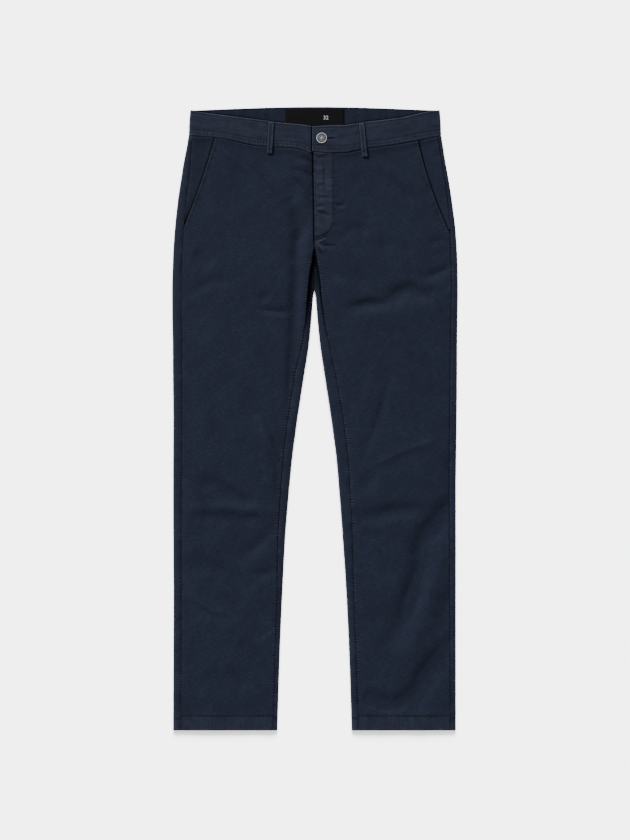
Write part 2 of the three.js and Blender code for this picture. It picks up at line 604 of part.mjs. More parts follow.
/** One half of the waistband: from its front end, round the side fold, to the centre back. */
function waistband(side) {
  const isLeft = side.sign > 0;
  const overlap = -FLY_EDGE_X; // from here on the right half passes under the left one
  const front = isLeft
    ? [FLY_EDGE_X, FLY_EDGE_X + 2.5, 20, 48, 67, 89, 108, 142, 167, 192, 203]
    : [-UNDERLAP - 1, overlap + 0.3, overlap + 0.8, overlap + 4, 17, 30, 48, 63, 94, 125, 146, 179, 203];
  const back = [200, 150, 100, 50, side.sign * CENTRE_X + GAP / 2];
  const across = [0, 0.06, 0.15, 0.24, 0.6, 0.94, 1];
  const relief = [-0.5, 0, -0.3, 0.05, 0.15, 0, -0.5];
  const columns = [
    ...front.map((u) => (v) => {
      const under = isLeft ? 0 : 1 - smoothstep(u, overlap + 0.8, overlap + 4);
      const z = bandZ(u) - under * (BAND_CLOTH + 2 * GAP);
      const y = lerp(side.bandBottom(u), side.bandTop(u), v);
      return { y, outer: [u, z], inner: [u, z - BAND_CLOTH], raised: 1 };
    }),
    ...BAND_TURN.map((degrees) => (v) => {
      const angle = THREE.MathUtils.degToRad(degrees);
      const half = (BAND_SIDE_Z - BAND_LIFT) / 2;
      const at = (depth) => [
        BAND_SIDE_U - 2.2 * v * v - BAND_ROLL + (BAND_ROLL - depth) * Math.cos(angle),
        BAND_LIFT + half + (half - depth) * Math.sin(angle),
      ];
      const y = lerp(SIDE_SEAM_TOP_Y, BAND_TOP_SIDE_Y, v);
      return { y, outer: at(0), inner: at(BAND_CLOTH), raised: 0 };
    }),
    ...back.map((u) => (v) => {
      const y = backBandTop(u) - BAND_DEPTH * (1 - v);
      return { y, outer: [u, BAND_LIFT], inner: [u, BAND_LIFT + BAND_CLOTH], raised: 0 };
    }),
  ];
  return clothWall(across.length - 1, columns.length - 1, (i, j) => {
    const { y, outer, inner, raised } = columns[j](across[i]);
    return {
      outer: [side.sign * outer[0], y, outer[1] + raised * relief[i]],
      inner: [side.sign * inner[0], y, inner[1]],
    };
  });
}

/** A belt loop on the front: a strip from the waistband's top edge to just below its seam. */
function frontLoop(side, { topU, bottomU, topY, bottomY }) {
  const length = topY - bottomY;
  const stations = [0, 0.04, 0.1, 0.2, 0.45, 0.68, 0.8, 0.88, 0.95, 1];
  const half = LOOP.width / 2;
  const across = [-half, -half * 0.55, 0, half * 0.55, half];
  const ridge = [-0.35, 0.1, -0.25, 0.1, -0.35];
  return clothWall(stations.length - 1, across.length - 1, (i, j) => {
    const t = stations[i];
    const u = lerp(topU, bottomU, t) + across[j];
    const y = topY - length * t;
    const seamY = side.bandBottom(u);
    const panel = frontZ(side, u, seamY - 4) + 0.2;
    const under = lerp(panel, bandZ(u) + 0.15, smoothstep(y, seamY - 6, seamY - 1));
    const fromEnd = Math.min(t, 1 - t) * length;
    const room = LOOP.beltRoom * smoothstep(fromEnd, LOOP.foot * 0.4, LOOP.foot * 1.4);
    const inner = under + GAP + room;
    const endDip = 0.4 * (1 - smoothstep(fromEnd, 0, 2));
    return {
      outer: [side.sign * u, y, inner + LOOP.cloth + ridge[j] - endDip],
      inner: [side.sign * u, y, inner],
    };
  });
}

/** A belt loop on the back, pressed flat between the waistband and the table. */
function backLoop(x) {
  const topY = backBandTop(x) - 1;
  const half = LOOP.width / 2;
  const chamfer = 0.3;
  const outline = new THREE.Shape();
  outline.moveTo(-half + chamfer, BACK_LOOP.y0 + chamfer);
  outline.lineTo(half - chamfer, BACK_LOOP.y0 + chamfer);
  outline.lineTo(half - chamfer, topY - chamfer);
  outline.lineTo(-half + chamfer, topY - chamfer);
  outline.closePath();
  const geometry = new THREE.ExtrudeGeometry(outline, {
    depth: BACK_LOOP.cloth - 2 * chamfer,
    bevelThickness: chamfer,
    bevelSize: chamfer,
    bevelSegments: 1,
  });
  return geometry.translate(x, 0, chamfer);
}

/** The woven label on the inside of the back waistband. */
function labelWall() {
  const columns = 8;
  const z = BAND_LIFT + BAND_CLOTH + GAP;
  return clothWall(2, columns, (i, j) => {
    const x = CENTRE_X + LABEL.width * (j / columns - 0.5);
    const y = lerp(LABEL.bottomY, backBandTop(x) - BAND_TOP_SIDE_Y - BAND_RISE_BACK + LABEL.topY, i / 2);
    return { outer: [x, y, z + LABEL.cloth], inner: [x, y, z] };
  });
}

/** A geometry as a manifold solid, for cutting. */
function solidOf(wasm, geometry) {
  const bare = geometry.clone();
  bare.deleteAttribute("normal");
  bare.deleteAttribute("uv");
  const merged = mergeVertices(bare, 1e-4);
  return new wasm.Manifold(
    new wasm.Mesh({
      numProp: 3,
      vertProperties: new Float32Array(merged.attributes.position.array),
      triVerts: new Uint32Array(merged.index.array),
    }),
  );
}

/** The waist button: a dished disc with a raised rim and four thread holes. */
function buttonGeometry(wasm) {
  const { radius, height, holeRadius, holeAt } = BUTTON;
  const profile = [
    [0, 0],
    [radius * 0.72, 0],
    [radius * 0.95, 0.9],
    [radius, 1.8],
    [radius * 0.97, height * 0.85],
    [radius * 0.9, height],
    [radius * 0.82, height * 0.92],
    [radius * 0.74, height * 0.66],
    [radius * 0.45, height * 0.6],
    [0, height * 0.6],
  ].map(([r, z]) => new THREE.Vector2(r, z));
  const disc = new THREE.LatheGeometry(profile, 24).rotateX(Math.PI / 2);
  let button = solidOf(wasm, disc);
  for (const dx of [-holeAt, holeAt])
    for (const dy of [-holeAt, holeAt]) {
      const drill = new THREE.CylinderGeometry(holeRadius, holeRadius, 2 * height, 8);
      button = button.subtract(solidOf(wasm, drill.rotateX(Math.PI / 2).translate(dx, dy, height / 2)));
    }
  const { vertProperties, triVerts } = button.getMesh();
  return facingOut([...vertProperties], [...triVerts]);
}

const left = makeSide({
  name: "left",
  sign: 1,
  sections: LEFT_SECTIONS,
  band: LEFT_BAND,
  bandFromU: FLY_EDGE_X,
  folds: LEFT_FOLDS,
  pocket: { topU: 171.5, topY: 461, footY: 307, bow: 5 },
});
const right = makeSide({
  name: "right",
  sign: -1,
  sections: RIGHT_SECTIONS,
  band: RIGHT_BAND,
  bandFromU: 4.5,
  folds: RIGHT_FOLDS,
  pocket: { topU: 166.3, topY: 466, footY: 319, bow: 2 },
});

const trousers = new THREE.Group();

/** Adds one named piece to the trousers. */
function addPiece(name, geometry, finish) {
  const mesh = new THREE.Mesh(geometry, new THREE.MeshStandardMaterial(finish));
  mesh.name = name;
  trousers.add(mesh);
  return mesh;
}

for (const side of [left, right]) {
  addPiece(`back_${side.name}`, backPanel(side), COLOURS.cloth);
  addPiece(`front_${side.name}`, frontPanel(side), COLOURS.cloth);
  addPiece(`pocket_facing_${side.name}`, pocketFacing(side), COLOURS.cloth);
  addPiece(`waistband_${side.name}`, waistband(side), COLOURS.band);
}
const LOOPS = {
  left: { topU: 77.5, bottomU: 82.7, topY: 489.4, bottomY: 435 },
  right: { topU: 72.2, bottomU: 75.4, topY: 492.2, bottomY: 440 },
};
for (const side of [left, right])
  addPiece(`belt_loop_front_${side.name}`, frontLoop(side, LOOPS[side.name]), COLOURS.loop);
addPiece("belt_loop_back_left", backLoop(BACK_LOOP.sideX), COLOURS.loop);
addPiece("belt_loop_back_centre", backLoop(CENTRE_X), COLOURS.loop);
addPiece("belt_loop_back_right", backLoop(-BACK_LOOP.sideX), COLOURS.loop);
addPiece("waist_label", labelWall(), COLOURS.label);

const wasm = await Module();
wasm.setup();
addPiece("waist_button", buttonGeometry(wasm), COLOURS.button).position.set(
  BUTTON.x,
  BUTTON.y,
  bandZ(BUTTON.x) + GAP + 0.15,
);

export default trousers;
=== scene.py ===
"""Chino trousers, laid flat on their back with the front up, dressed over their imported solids.

Tables and sizes are in millimetres and meshes are written in metres. X runs across the garment,
Y from the hems to the waist and Z up from the table. u is a distance from the middle line, towards
the outer edge of either leg. Left and right are the wearer's, so the left leg lies at +X.
"""

from __future__ import annotations

import logging
import math
from dataclasses import dataclass, field
from enum import Enum
from typing import Callable, Optional, Sequence, Union

import bpy
import numpy as np
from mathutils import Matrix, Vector

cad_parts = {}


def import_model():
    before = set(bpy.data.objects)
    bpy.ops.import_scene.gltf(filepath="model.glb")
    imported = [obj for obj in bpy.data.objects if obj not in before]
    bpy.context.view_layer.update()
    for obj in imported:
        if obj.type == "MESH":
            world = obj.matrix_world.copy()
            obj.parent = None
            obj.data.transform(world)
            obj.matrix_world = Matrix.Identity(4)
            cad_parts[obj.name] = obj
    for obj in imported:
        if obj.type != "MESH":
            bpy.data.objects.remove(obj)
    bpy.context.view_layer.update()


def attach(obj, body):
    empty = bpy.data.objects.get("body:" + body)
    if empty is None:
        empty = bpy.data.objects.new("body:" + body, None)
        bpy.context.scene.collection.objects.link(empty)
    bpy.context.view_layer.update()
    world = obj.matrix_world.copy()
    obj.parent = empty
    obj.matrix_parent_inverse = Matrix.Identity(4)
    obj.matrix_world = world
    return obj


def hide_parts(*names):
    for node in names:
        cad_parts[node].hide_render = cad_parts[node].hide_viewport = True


log = logging.getLogger("trousers")

Array = np.ndarray
Number = Union[float, Array]

MM = 0.001
BODY = "root"
LEAN = (0.62, -0.78)


class Wearer(Enum):
    """The wearer's side of a piece; the value is the sign of X there."""

    LEFT = 1
    RIGHT = -1


class Slot(Enum):
    """Names for the garment's four materials."""

    TWILL = "twill"
    LABEL = "label"
    BUTTON = "button"
    THREAD = "thread"


# Sizes shared by the pieces


@dataclass(frozen=True)
class Garment:
    """Sizes that several pieces share."""

    hem_y: float = -517.0
    band_depth: float = 43.0
    band_top_side_y: float = 512.4
    band_rise_back: float = 5.9
    crotch_y: float = 270.0
    gap_top_y: float = 212.0
    fly_stop_y: float = 302.0
    underlap_y: float = 297.0
    centre_x: float = -0.9
    front_cloth: float = 1.4
    back_cloth: float = 1.3
    facing_cloth: float = 1.2
    band_cloth: float = 2.2
    gap: float = 0.3
    hem_depth: float = 24.0
    hem_extra: float = 0.5
    fly_edge_x: float = -2.7
    band_end_x: float = -4.6
    fly_stitch: float = 32.2
    fly_curve: float = 28.0
    fly_extra: float = 0.45
    underlap: float = 10.0
    band_lift: float = 1.6
    band_side_z: float = 8.0
    band_middle_z: float = 9.9
    band_side_u: float = 209.5
    band_roll: float = 4.0

    @property
    def side_seam_top_y(self) -> float:
        """Where the waistband is sewn on, at the side folds."""
        return self.band_top_side_y - self.band_depth


SIZE = Garment()


@dataclass(frozen=True)
class Section:
    """A leg at height y: its two edges, and how far in from them its seams lie."""

    y: float
    outer: float
    outseam: float
    inner: float
    inseam: float


@dataclass(frozen=True)
class Loft:
    """How high the front lies at height y: mid panel, at its seams and at the leg's folds."""

    y: float
    middle: float
    seam: float
    outer_fold: float
    inner_fold: float


@dataclass(frozen=True)
class BandEdge:
    """The front waistband's two edges at u."""

    u: float
    top: float
    bottom: float


LEFT_SECTIONS = (
    Section(-517, 233.7, 9, 61.3, 11.5),
    Section(-400, 233.6, 9, 57.5, 11.5),
    Section(-300, 233.6, 9.5, 53, 12),
    Section(-200, 233.7, 10, 46.6, 15.5),
    Section(-134, 233.6, 10.5, 41.7, 17.5),
    Section(-68, 234.2, 11, 36.2, 19),
    Section(0, 235.1, 11.3, 27.4, 19.4),
    Section(65, 235.6, 11.3, 17.6, 18),
    Section(131, 235.9, 11, 8, 14),
    Section(172, 236.4, 10.5, 4, 11),
    Section(212, 237, 10.5, 0.4, 9.5),
    Section(215, 237, 10.5, -0.75, 10.4),
    Section(240, 236.7, 10.2, -0.75, 8),
    Section(270, 235.9, 10, -0.75, 3.6),
    Section(310, 233.5, 9, -0.75, 3.6),
    Section(363, 227.1, 7, -0.75, 3.6),
    Section(397, 221.8, 6, -0.75, 3.6),
    Section(430, 215.8, 5.5, -0.75, 3.6),
    Section(450, 212.6, 5.5, -0.75, 3.6),
    Section(469.4, 209.5, 5.5, -0.75, 3.6),
)
RIGHT_SECTIONS = (
    Section(-517, 235.4, 13, 62.9, 6.6),
    Section(-400, 234.9, 13, 59.3, 7),
    Section(-300, 234.6, 13, 55.1, 8),
    Section(-200, 235.1, 13.3, 50, 11.5),
    Section(-134, 235.4, 13.6, 44.8, 13.2),
    Section(-68, 235.2, 14, 38.5, 14.5),
    Section(0, 235, 14, 29.7, 15),
    Section(65, 235.6, 14.5, 19.8, 15.5),
    Section(131, 236.1, 15, 9.8, 10),
    Section(172, 236.8, 15, 5.9, 8.8),
    Section(212, 237, 15, 2.3, 9.3),
    Section(215, 237, 15, 1.05, 10.3),
    Section(240, 236.4, 15, 1.05, 8),
    Section(270, 235.5, 15, 1.05, 3.6),
    Section(310, 233, 14.8, 1.05, 3.6),
    Section(363, 227.4, 14, 1.05, 3.6),
    Section(397, 222.4, 13.5, 1.05, 3.6),
    Section(430, 217.1, 11, 1.05, 3.6),
    Section(450, 213, 8, 1.05, 3.6),
    Section(469.4, 209.5, 5.5, 1.05, 3.6),
)
LOFTS = (
    Loft(-517, 4.7, 4.5, 4.4, 4.4),
    Loft(-480, 5.8, 4.8, 4.6, 4.6),
    Loft(-300, 6.3, 5.1, 4.8, 4.8),
    Loft(0, 6.5, 5.2, 4.9, 5),
    Loft(131, 6.7, 5.4, 5, 4.8),
    Loft(212, 6.9, 5.6, 5, 4.2),
    Loft(270, 7, 5.5, 5.1, 3.8),
    Loft(400, 7.3, 6, 5.4, 3.8),
    Loft(440, 7.8, 6.6, 6.4, 3.8),
    Loft(469.4, 8.2, 7.4, 7.3, 3.8),
)
LEFT_BAND = (
    BandEdge(-4, 485, 443.8),
    BandEdge(20, 486.8, 441),
    BandEdge(48, 487.4, 441),
    BandEdge(67, 489.8, 444.4),
    BandEdge(89, 493.2, 448.8),
    BandEdge(108, 495.2, 451),
    BandEdge(142, 499.7, 456.3),
    BandEdge(167, 505.3, 460.9),
    BandEdge(192, 511, 465.9),
    BandEdge(209.5, 512.4, 469.4),
)
RIGHT_BAND = (
    BandEdge(-14, 484.4, 444.4),
    BandEdge(3.9, 485.3, 444.4),
    BandEdge(4.4, 485.4, 438.6),
    BandEdge(17, 487.4, 445),
    BandEdge(30, 489, 448),
    BandEdge(48, 490.4, 449.9),
    BandEdge(63, 491.9, 450.3),
    BandEdge(94, 496.4, 452.8),
    BandEdge(125, 500.2, 458.7),
    BandEdge(146, 503, 463.6),
    BandEdge(179, 507.4, 467.4),
    BandEdge(209.5, 512.4, 469.4),
)


# Small maths


def smoothstep(x: Number, low: float, high: float) -> Array:
    """0 below low, 1 above high, and a soft step between them."""
    t = np.clip((np.asarray(x, dtype=float) - low) / (high - low), 0.0, 1.0)
    return t * t * (3.0 - 2.0 * t)


def lerp(a: Number, b: Number, t: Number) -> Array:
    """The value a share t of the way from a to b."""
    return a + (b - a) * t


def hashed(whole: Array, seed: float) -> Array:
    """A repeatable value from 0 to 1 for each whole number."""
    wave = np.sin(whole * 12.9898 + seed * 78.233) * 43758.5453
    return wave - np.floor(wave)


def noise_line(x: Number, seed: float) -> Array:
    """Soft noise from -1 to 1 along a line, with a new value at each whole x."""
    x = np.asarray(x, dtype=float)
    low = np.floor(x)
    t = smoothstep(x - low, 0.0, 1.0)
    return 2.0 * lerp(hashed(low, seed), hashed(low + 1, seed), t) - 1.0


def noise_field(x: Number, y: Number, seed: float) -> Array:
    """Soft noise from -1 to 1 over a plane, with a new value at each whole x and y."""
    x, y = np.broadcast_arrays(np.asarray(x, dtype=float), np.asarray(y, dtype=float))
    xi, yi = np.floor(x), np.floor(y)
    tx, ty = smoothstep(x - xi, 0.0, 1.0), smoothstep(y - yi, 0.0, 1.0)

    def corner(dx: int, dy: int) -> Array:
        """The value at one corner of each point's cell."""
        return hashed((xi + dx) * 1.37 + (yi + dy) * 57.31, seed)

    near = lerp(corner(0, 0), corner(1, 0), tx)
    far = lerp(corner(0, 1), corner(1, 1), tx)
    return 2.0 * lerp(near, far, ty) - 1.0


def stitch_wave(along: Array, pitch: float, seed: float) -> Array:
    """One wave for each stitch, from -1 to 1, which wanders a little in place and strength."""
    phase = along / pitch + 0.35 * noise_line(along / 11.0, seed)
    strength = 0.65 + 0.35 * noise_line(along / 7.0, seed + 1)
    return strength * np.cos(math.tau * phase)


class TableCurve:
    """A smooth curve through a table's rows, which never overshoots them."""

    def __init__(self, rows: Sequence[object], column: str, by: str = "y") -> None:
        """Reads the curve's points.

        Args:
            rows: the table's rows, in order of by.
            column: the field that gives the curve's value.
            by: the field that the curve runs along.
        """
        self.at = np.array([getattr(row, by) for row in rows], dtype=float)
        self.value = np.array([getattr(row, column) for row in rows], dtype=float)
        secant = np.diff(self.value) / np.diff(self.at)
        slope = np.empty_like(self.value)
        slope[0], slope[-1] = secant[0], secant[-1]
        product = secant[:-1] * secant[1:]
        total = secant[:-1] + secant[1:]
        safe = np.where(product > 0, total, 1.0)
        slope[1:-1] = np.where(product > 0, 2.0 * product / safe, 0.0)
        self.slope = slope

    def __call__(self, where: Number) -> Array:
        """The curve's value at each place."""
        x = np.clip(np.asarray(where, dtype=float), self.at[0], self.at[-1])
        i = np.clip(np.searchsorted(self.at, x, side="right") - 1, 0, len(self.at) - 2)
        step = self.at[i + 1] - self.at[i]
        t = (x - self.at[i]) / step
        bend = t * t * (3.0 - 2.0 * t)
        tail = self.slope[i] * t * (1 - t) ** 2 - self.slope[i + 1] * t * t * (1 - t)
        return lerp(self.value[i], self.value[i + 1], bend) + step * tail


@dataclass(frozen=True)
class Near:
    """Where points lie against a path: all arrays have the points' shape."""

    distance: Array
    left: Array
    along: Array
    length: float


class Path:
    """A curve on the cloth through given points."""

    def __init__(self, points: Sequence[Sequence[float]], steps: int = 6) -> None:
        """Rounds the path's corners.

        Args:
            points: the points that the curve runs through.
            steps: how many straight stretches stand for each span; 1 keeps the corners.
        """
        given = np.asarray(points, dtype=float)
        if steps > 1 and len(given) > 2:
            ends = np.vstack([2 * given[0] - given[1], given, 2 * given[-1] - given[-2]])
            t = np.linspace(0, 1, steps, endpoint=False)[:, None]
            spans = []
            for a, b, c, d in zip(ends, ends[1:], ends[2:], ends[3:]):
                bend = 2 * b + (c - a) * t + (2 * a - 5 * b + 4 * c - d) * t**2
                spans.append(0.5 * (bend + (3 * b - a - 3 * c + d) * t**3))
            given = np.vstack([*spans, given[-1:]])
        self.points = given
        self.steps = np.linalg.norm(np.diff(given, axis=0), axis=1)
        self.starts = np.concatenate([[0.0], np.cumsum(self.steps)])

    @property
    def length(self) -> float:
        """The path's length."""
        return float(self.starts[-1])

    def at(self, along: Array) -> Array:
        """The points at these distances along the path."""
        columns = [np.interp(along, self.starts, c) for c in self.points.T]
        return np.stack(columns, axis=-1)

    def near(self, x: Array, y: Array) -> Near:
        """How far each point lies from the path, on which side, and how far along it."""
        best = np.full(x.shape, np.inf)
        left = np.ones(x.shape)
        along = np.zeros(x.shape)
        for (ax, ay), (bx, by), start, step in zip(
            self.points, self.points[1:], self.starts, self.steps
        ):
            dx, dy = (bx - ax) / step, (by - ay) / step
            t = np.clip((x - ax) * dx + (y - ay) * dy, 0.0, step)
            ox, oy = x - ax - t * dx, y - ay - t * dy
            distance = np.hypot(ox, oy)
            closer = distance < best
            best = np.where(closer, distance, best)
            left = np.where(closer, np.sign(dx * oy - dy * ox), left)
            along = np.where(closer, start + t, along)
        return Near(best, left, along, self.length)


# Folds in the cloth


@dataclass(frozen=True)
class Fold:
    """A soft ridge in the cloth, or a trough where its height is negative.

    The path follows the flank nearer the waist and the wearer's right, where the tone of a fold
    shows best. reach is its half width on the left-hand side of the path, as one walks along it,
    and far_reach the half width on the other side. crisp is how much of it is a sharp crest.
    """

    name: str
    path: tuple[tuple[float, float], ...]
    height: float
    reach: float
    far_reach: float
    crisp: float = 0.0

    def relief(self, u: Array, y: Array, lean: tuple[float, float]) -> Array:
        """What the fold adds to the cloth's height.

        Args:
            u: the points' distances from the middle line.
            y: the points' heights.
            lean: the way from the path to the fold's crest, as a unit vector.

        Returns:
            The added height at each point.
        """
        off = 0.5 * (self.reach + self.far_reach) * (1 - 0.6 * self.crisp) + 1.2
        u, y = u - lean[0] * off, y - lean[1] * off
        path = Path(self.path)
        widest = 3.2 * max(self.reach, self.far_reach)
        low = path.points.min(axis=0) - widest
        high = path.points.max(axis=0) + widest
        close = (u > low[0]) & (u < high[0]) & (y > low[1]) & (y < high[1])
        added = np.zeros(u.shape)
        if not close.any():
            return added
        near = path.near(u[close], y[close])
        share = near.along / near.length
        reach = np.where(near.left > 0, self.reach, self.far_reach)
        far = near.distance / reach
        round_crest = (1.0 - 0.3 * far**2) * np.exp(-0.62 * far**2)
        crest = lerp(round_crest, np.exp(-2.1 * far) * (1 - 0.2 * far), self.crisp)
        seed = float(sum(map(ord, self.name)) % 97)
        uneven = 1.0 + 0.22 * noise_line(near.along / 17.0, seed)
        taper = 0.12 + 0.88 * np.sin(np.pi * np.clip(share, 0.0, 1.0)) ** 0.65
        added[close] = self.height * crest * taper * uneven
        return added


LEFT_FOLDS = (
    Fold("thigh trough", ((46, 190), (72, 196), (98, 198), (120, 200)), -3.38, 8.1, 9.5, 0.2),
    Fold("thigh trough outer", ((116, 202), (128, 214), (149, 223), (167, 216), (190, 211)), -3.25, 10.8, 10.8),
    Fold("thigh lip", ((58, 182), (92, 186), (124, 189), (160, 200), (215, 205)), 0.8, 9.5, 20.2),
    Fold("thigh side crease", ((88, 213), (120, 221), (151, 229)), -0.2, 8.1, 9.5),
    Fold("thigh fan", ((206, 205), (217, 214), (225, 224)), 0.6, 5.4, 5.4),
    Fold("hip crease", ((176, 239), (198, 247), (220, 258)), -1.88, 8.1, 6.8, 0.3),
    Fold("hip lip", ((172, 230), (198, 235), (222, 246)), 0.25, 6.8, 9.5),
    Fold("pocket foot crease", ((184, 297), (200, 302), (214, 304)), -1.1, 6.8, 6.8),
    Fold("pocket foot crease lower", ((196, 276), (208, 282), (220, 284)), -0.35, 6.8, 6.8),
    Fold("crotch pucker upper", ((9, 290.5), (18, 290), (33, 288.5)), -1.4, 2.5, 2.5, 0.4),
    Fold("crotch pucker", ((3, 283), (8, 279), (15, 272)), -1.3, 2.5, 2.5, 0.4),
    Fold("crotch ridge", ((3, 292), (8, 288), (16, 281)), 1.2, 2, 2, 0.4),
    Fold("crotch ridge upper", ((3, 294), (10, 298), (18, 300.5)), 1.2, 2, 2, 0.4),
    Fold("crotch sweep", ((8, 262), (24, 250), (50, 240), (84, 233)), -1.12, 12.2, 9.5),
    Fold("crotch swell", ((20, 252), (40, 240), (66, 229)), 0.7, 13.5, 17.6),
    Fold("fly end crease", ((33, 357), (41, 357.5), (50, 359)), -1.2, 3, 3, 0.3),
    Fold("fly end lip", ((33, 352), (42, 351.5), (51, 351)), 0.6, 3, 3, 0.3),
    Fold("fly ripple foot", ((1, 346), (9, 343.5), (24, 339.5)), -0.8, 3, 3, 0.3),
    Fold("fly ripple foot lip", ((0, 350.5), (6, 350), (14, 348.5)), 1.1, 2.5, 3, 0.3),
    Fold("fly ripple 1", ((0, 354.5), (5, 354), (10, 354)), -0.9, 2.2, 2.2, 0.3),
    Fold("fly ripple 2", ((0, 361), (8, 360.5), (14, 361)), 0.9, 2.4, 2.4, 0.3),
    Fold("fly ripple 3", ((0, 368), (6, 368.5), (16, 369.5)), -1.0, 2.4, 2.4, 0.3),
    Fold("fly ripple 4", ((1, 377), (8, 376), (22, 373)), 0.9, 3, 3),
    Fold("fly ripple 5", ((0, 388), (4, 387.5), (9, 387.5)), -0.9, 2.4, 2.4, 0.3),
    Fold("fly ripple 6", ((0, 396), (9, 396), (16, 394)), 0.9, 3, 3),
    Fold("fly ripple 7", ((0, 407), (4, 407), (10, 407)), -0.8, 2.4, 2.4, 0.3),
    Fold("fly ripple 8", ((1, 419), (8, 418), (14, 419)), 0.9, 3, 3),
    Fold("fly groove", ((14, 425), (14.5, 396), (15, 372)), -0.4, 2.5, 2.5),
    Fold("fly top crease", ((0, 433.5), (10, 436), (23, 440)), -0.6, 2.5, 2.5, 0.3),
    Fold("front sweep", ((36, 306), (48, 316), (58, 330)), -0.88, 8.1, 8.1),
    Fold("front dent", ((62, 317), (70, 324), (80, 330)), -1.4, 10.8, 10.8),
    Fold("front dent lower", ((98, 294), (110, 301), (122, 303)), -1.8, 13.5, 12.2),
    Fold("front dent outer", ((138, 287), (147, 291), (154, 297)), -1.1, 9.5, 9.5),
    Fold("upper dent", ((52, 397), (60, 404), (70, 410)), -0.88, 10.8, 10.8),
    Fold("hip slant", ((98, 418), (119, 403), (143, 380), (171, 369)), -1.8, 9.5, 9.5),
    Fold("hip slant ridge", ((108, 427), (132, 409), (158, 396)), 0.75, 9.5, 12.2),
    Fold("long ridge", ((124, 98), (108, 60), (93, 11), (80, -28), (66, -58)), 1.0, 10.8, 8.1, 0.25),
    Fold("long trough", ((124, 100), (113, 66), (104, 28), (92, -6), (78, -40), (66, -72)), -1.7, 8.1, 10.0),
    Fold("thigh line", ((92, 96), (84, 62), (78, 22)), 0.75, 8.1, 8.1),
    Fold("thigh shade", ((60, 120), (70, 84), (84, 50)), -0.75, 16.2, 12.2),
    Fold("knee ridge", ((198, -30), (172, -39), (146, -47), (120, -59), (98, -72)), 1.62, 6.8, 8.1, 0.5),
    Fold("knee ridge trough", ((160, -56), (126, -70), (96, -88)), -0.3, 8.1, 12.2),
    Fold("knee hollow", ((92, -80), (82, -93), (72, -112)), -1.88, 12.2, 12.2),
    Fold("knee crease", ((62, -160), (98, -152), (133, -142), (190, -141)), -2.2, 11.5, 11.5),
    Fold("knee lip", ((60, -169), (92, -167), (136, -160)), 0.3, 6.8, 10.8),
    Fold("knee crease lower", ((70, -179), (90, -185), (110, -186)), -0.85, 8.1, 8.1),
    Fold("shin slant", ((88, -196), (112, -218), (136, -240)), 1.5, 6.8, 8.1, 0.4),
    Fold("outseam trough", ((222, -20), (218, -62), (222, -100)), -1, 9.5, 8.1),
    Fold("calf trough", ((224, -124), (202, -152), (172, -190), (163, -222)), -3.9, 14.0, 14.5, 0.12),
    Fold("calf trough lower", ((178, -210), (162, -246), (152, -284), (136, -338)), -4.1, 17.5, 13.5, 0.08),
    Fold("calf swell", ((220, -170), (202, -216), (180, -276), (158, -336), (142, -398)), 2.75, 20.2, 17.6),
    Fold("calf outer hollow", ((222, -262), (206, -300), (192, -352)), -1.5, 13.5, 16.2),
    Fold("calf dent", ((120, -284), (130, -296), (142, -308)), -0.75, 13.5, 13.5),
    Fold("shin trough", ((221, -352), (200, -375.5), (178, -407.5), (158, -437.5), (132, -458.5)), -4.9, 18.5, 14.5, 0.05),
    Fold("shin hook", ((142, -461), (118, -466), (96, -458), (72, -452)), -4.4, 13.5, 12.0),
    Fold("shin crest", ((224, -374), (204, -402), (182, -434), (155, -470)), 1.15, 5.4, 12.2, 0.5),
    Fold("shin crest foot", ((160, -466), (132, -480), (104, -480), (72, -470)), 1.2, 6.8, 6.8, 0.2),
    Fold("shin dent", ((128, -330), (114, -358), (104, -382)), -1.4, 14.9, 13.5),
    Fold("hem swell", ((74, -484), (120, -486), (170, -486), (220, -482)), 0.9, 5, 5),
)
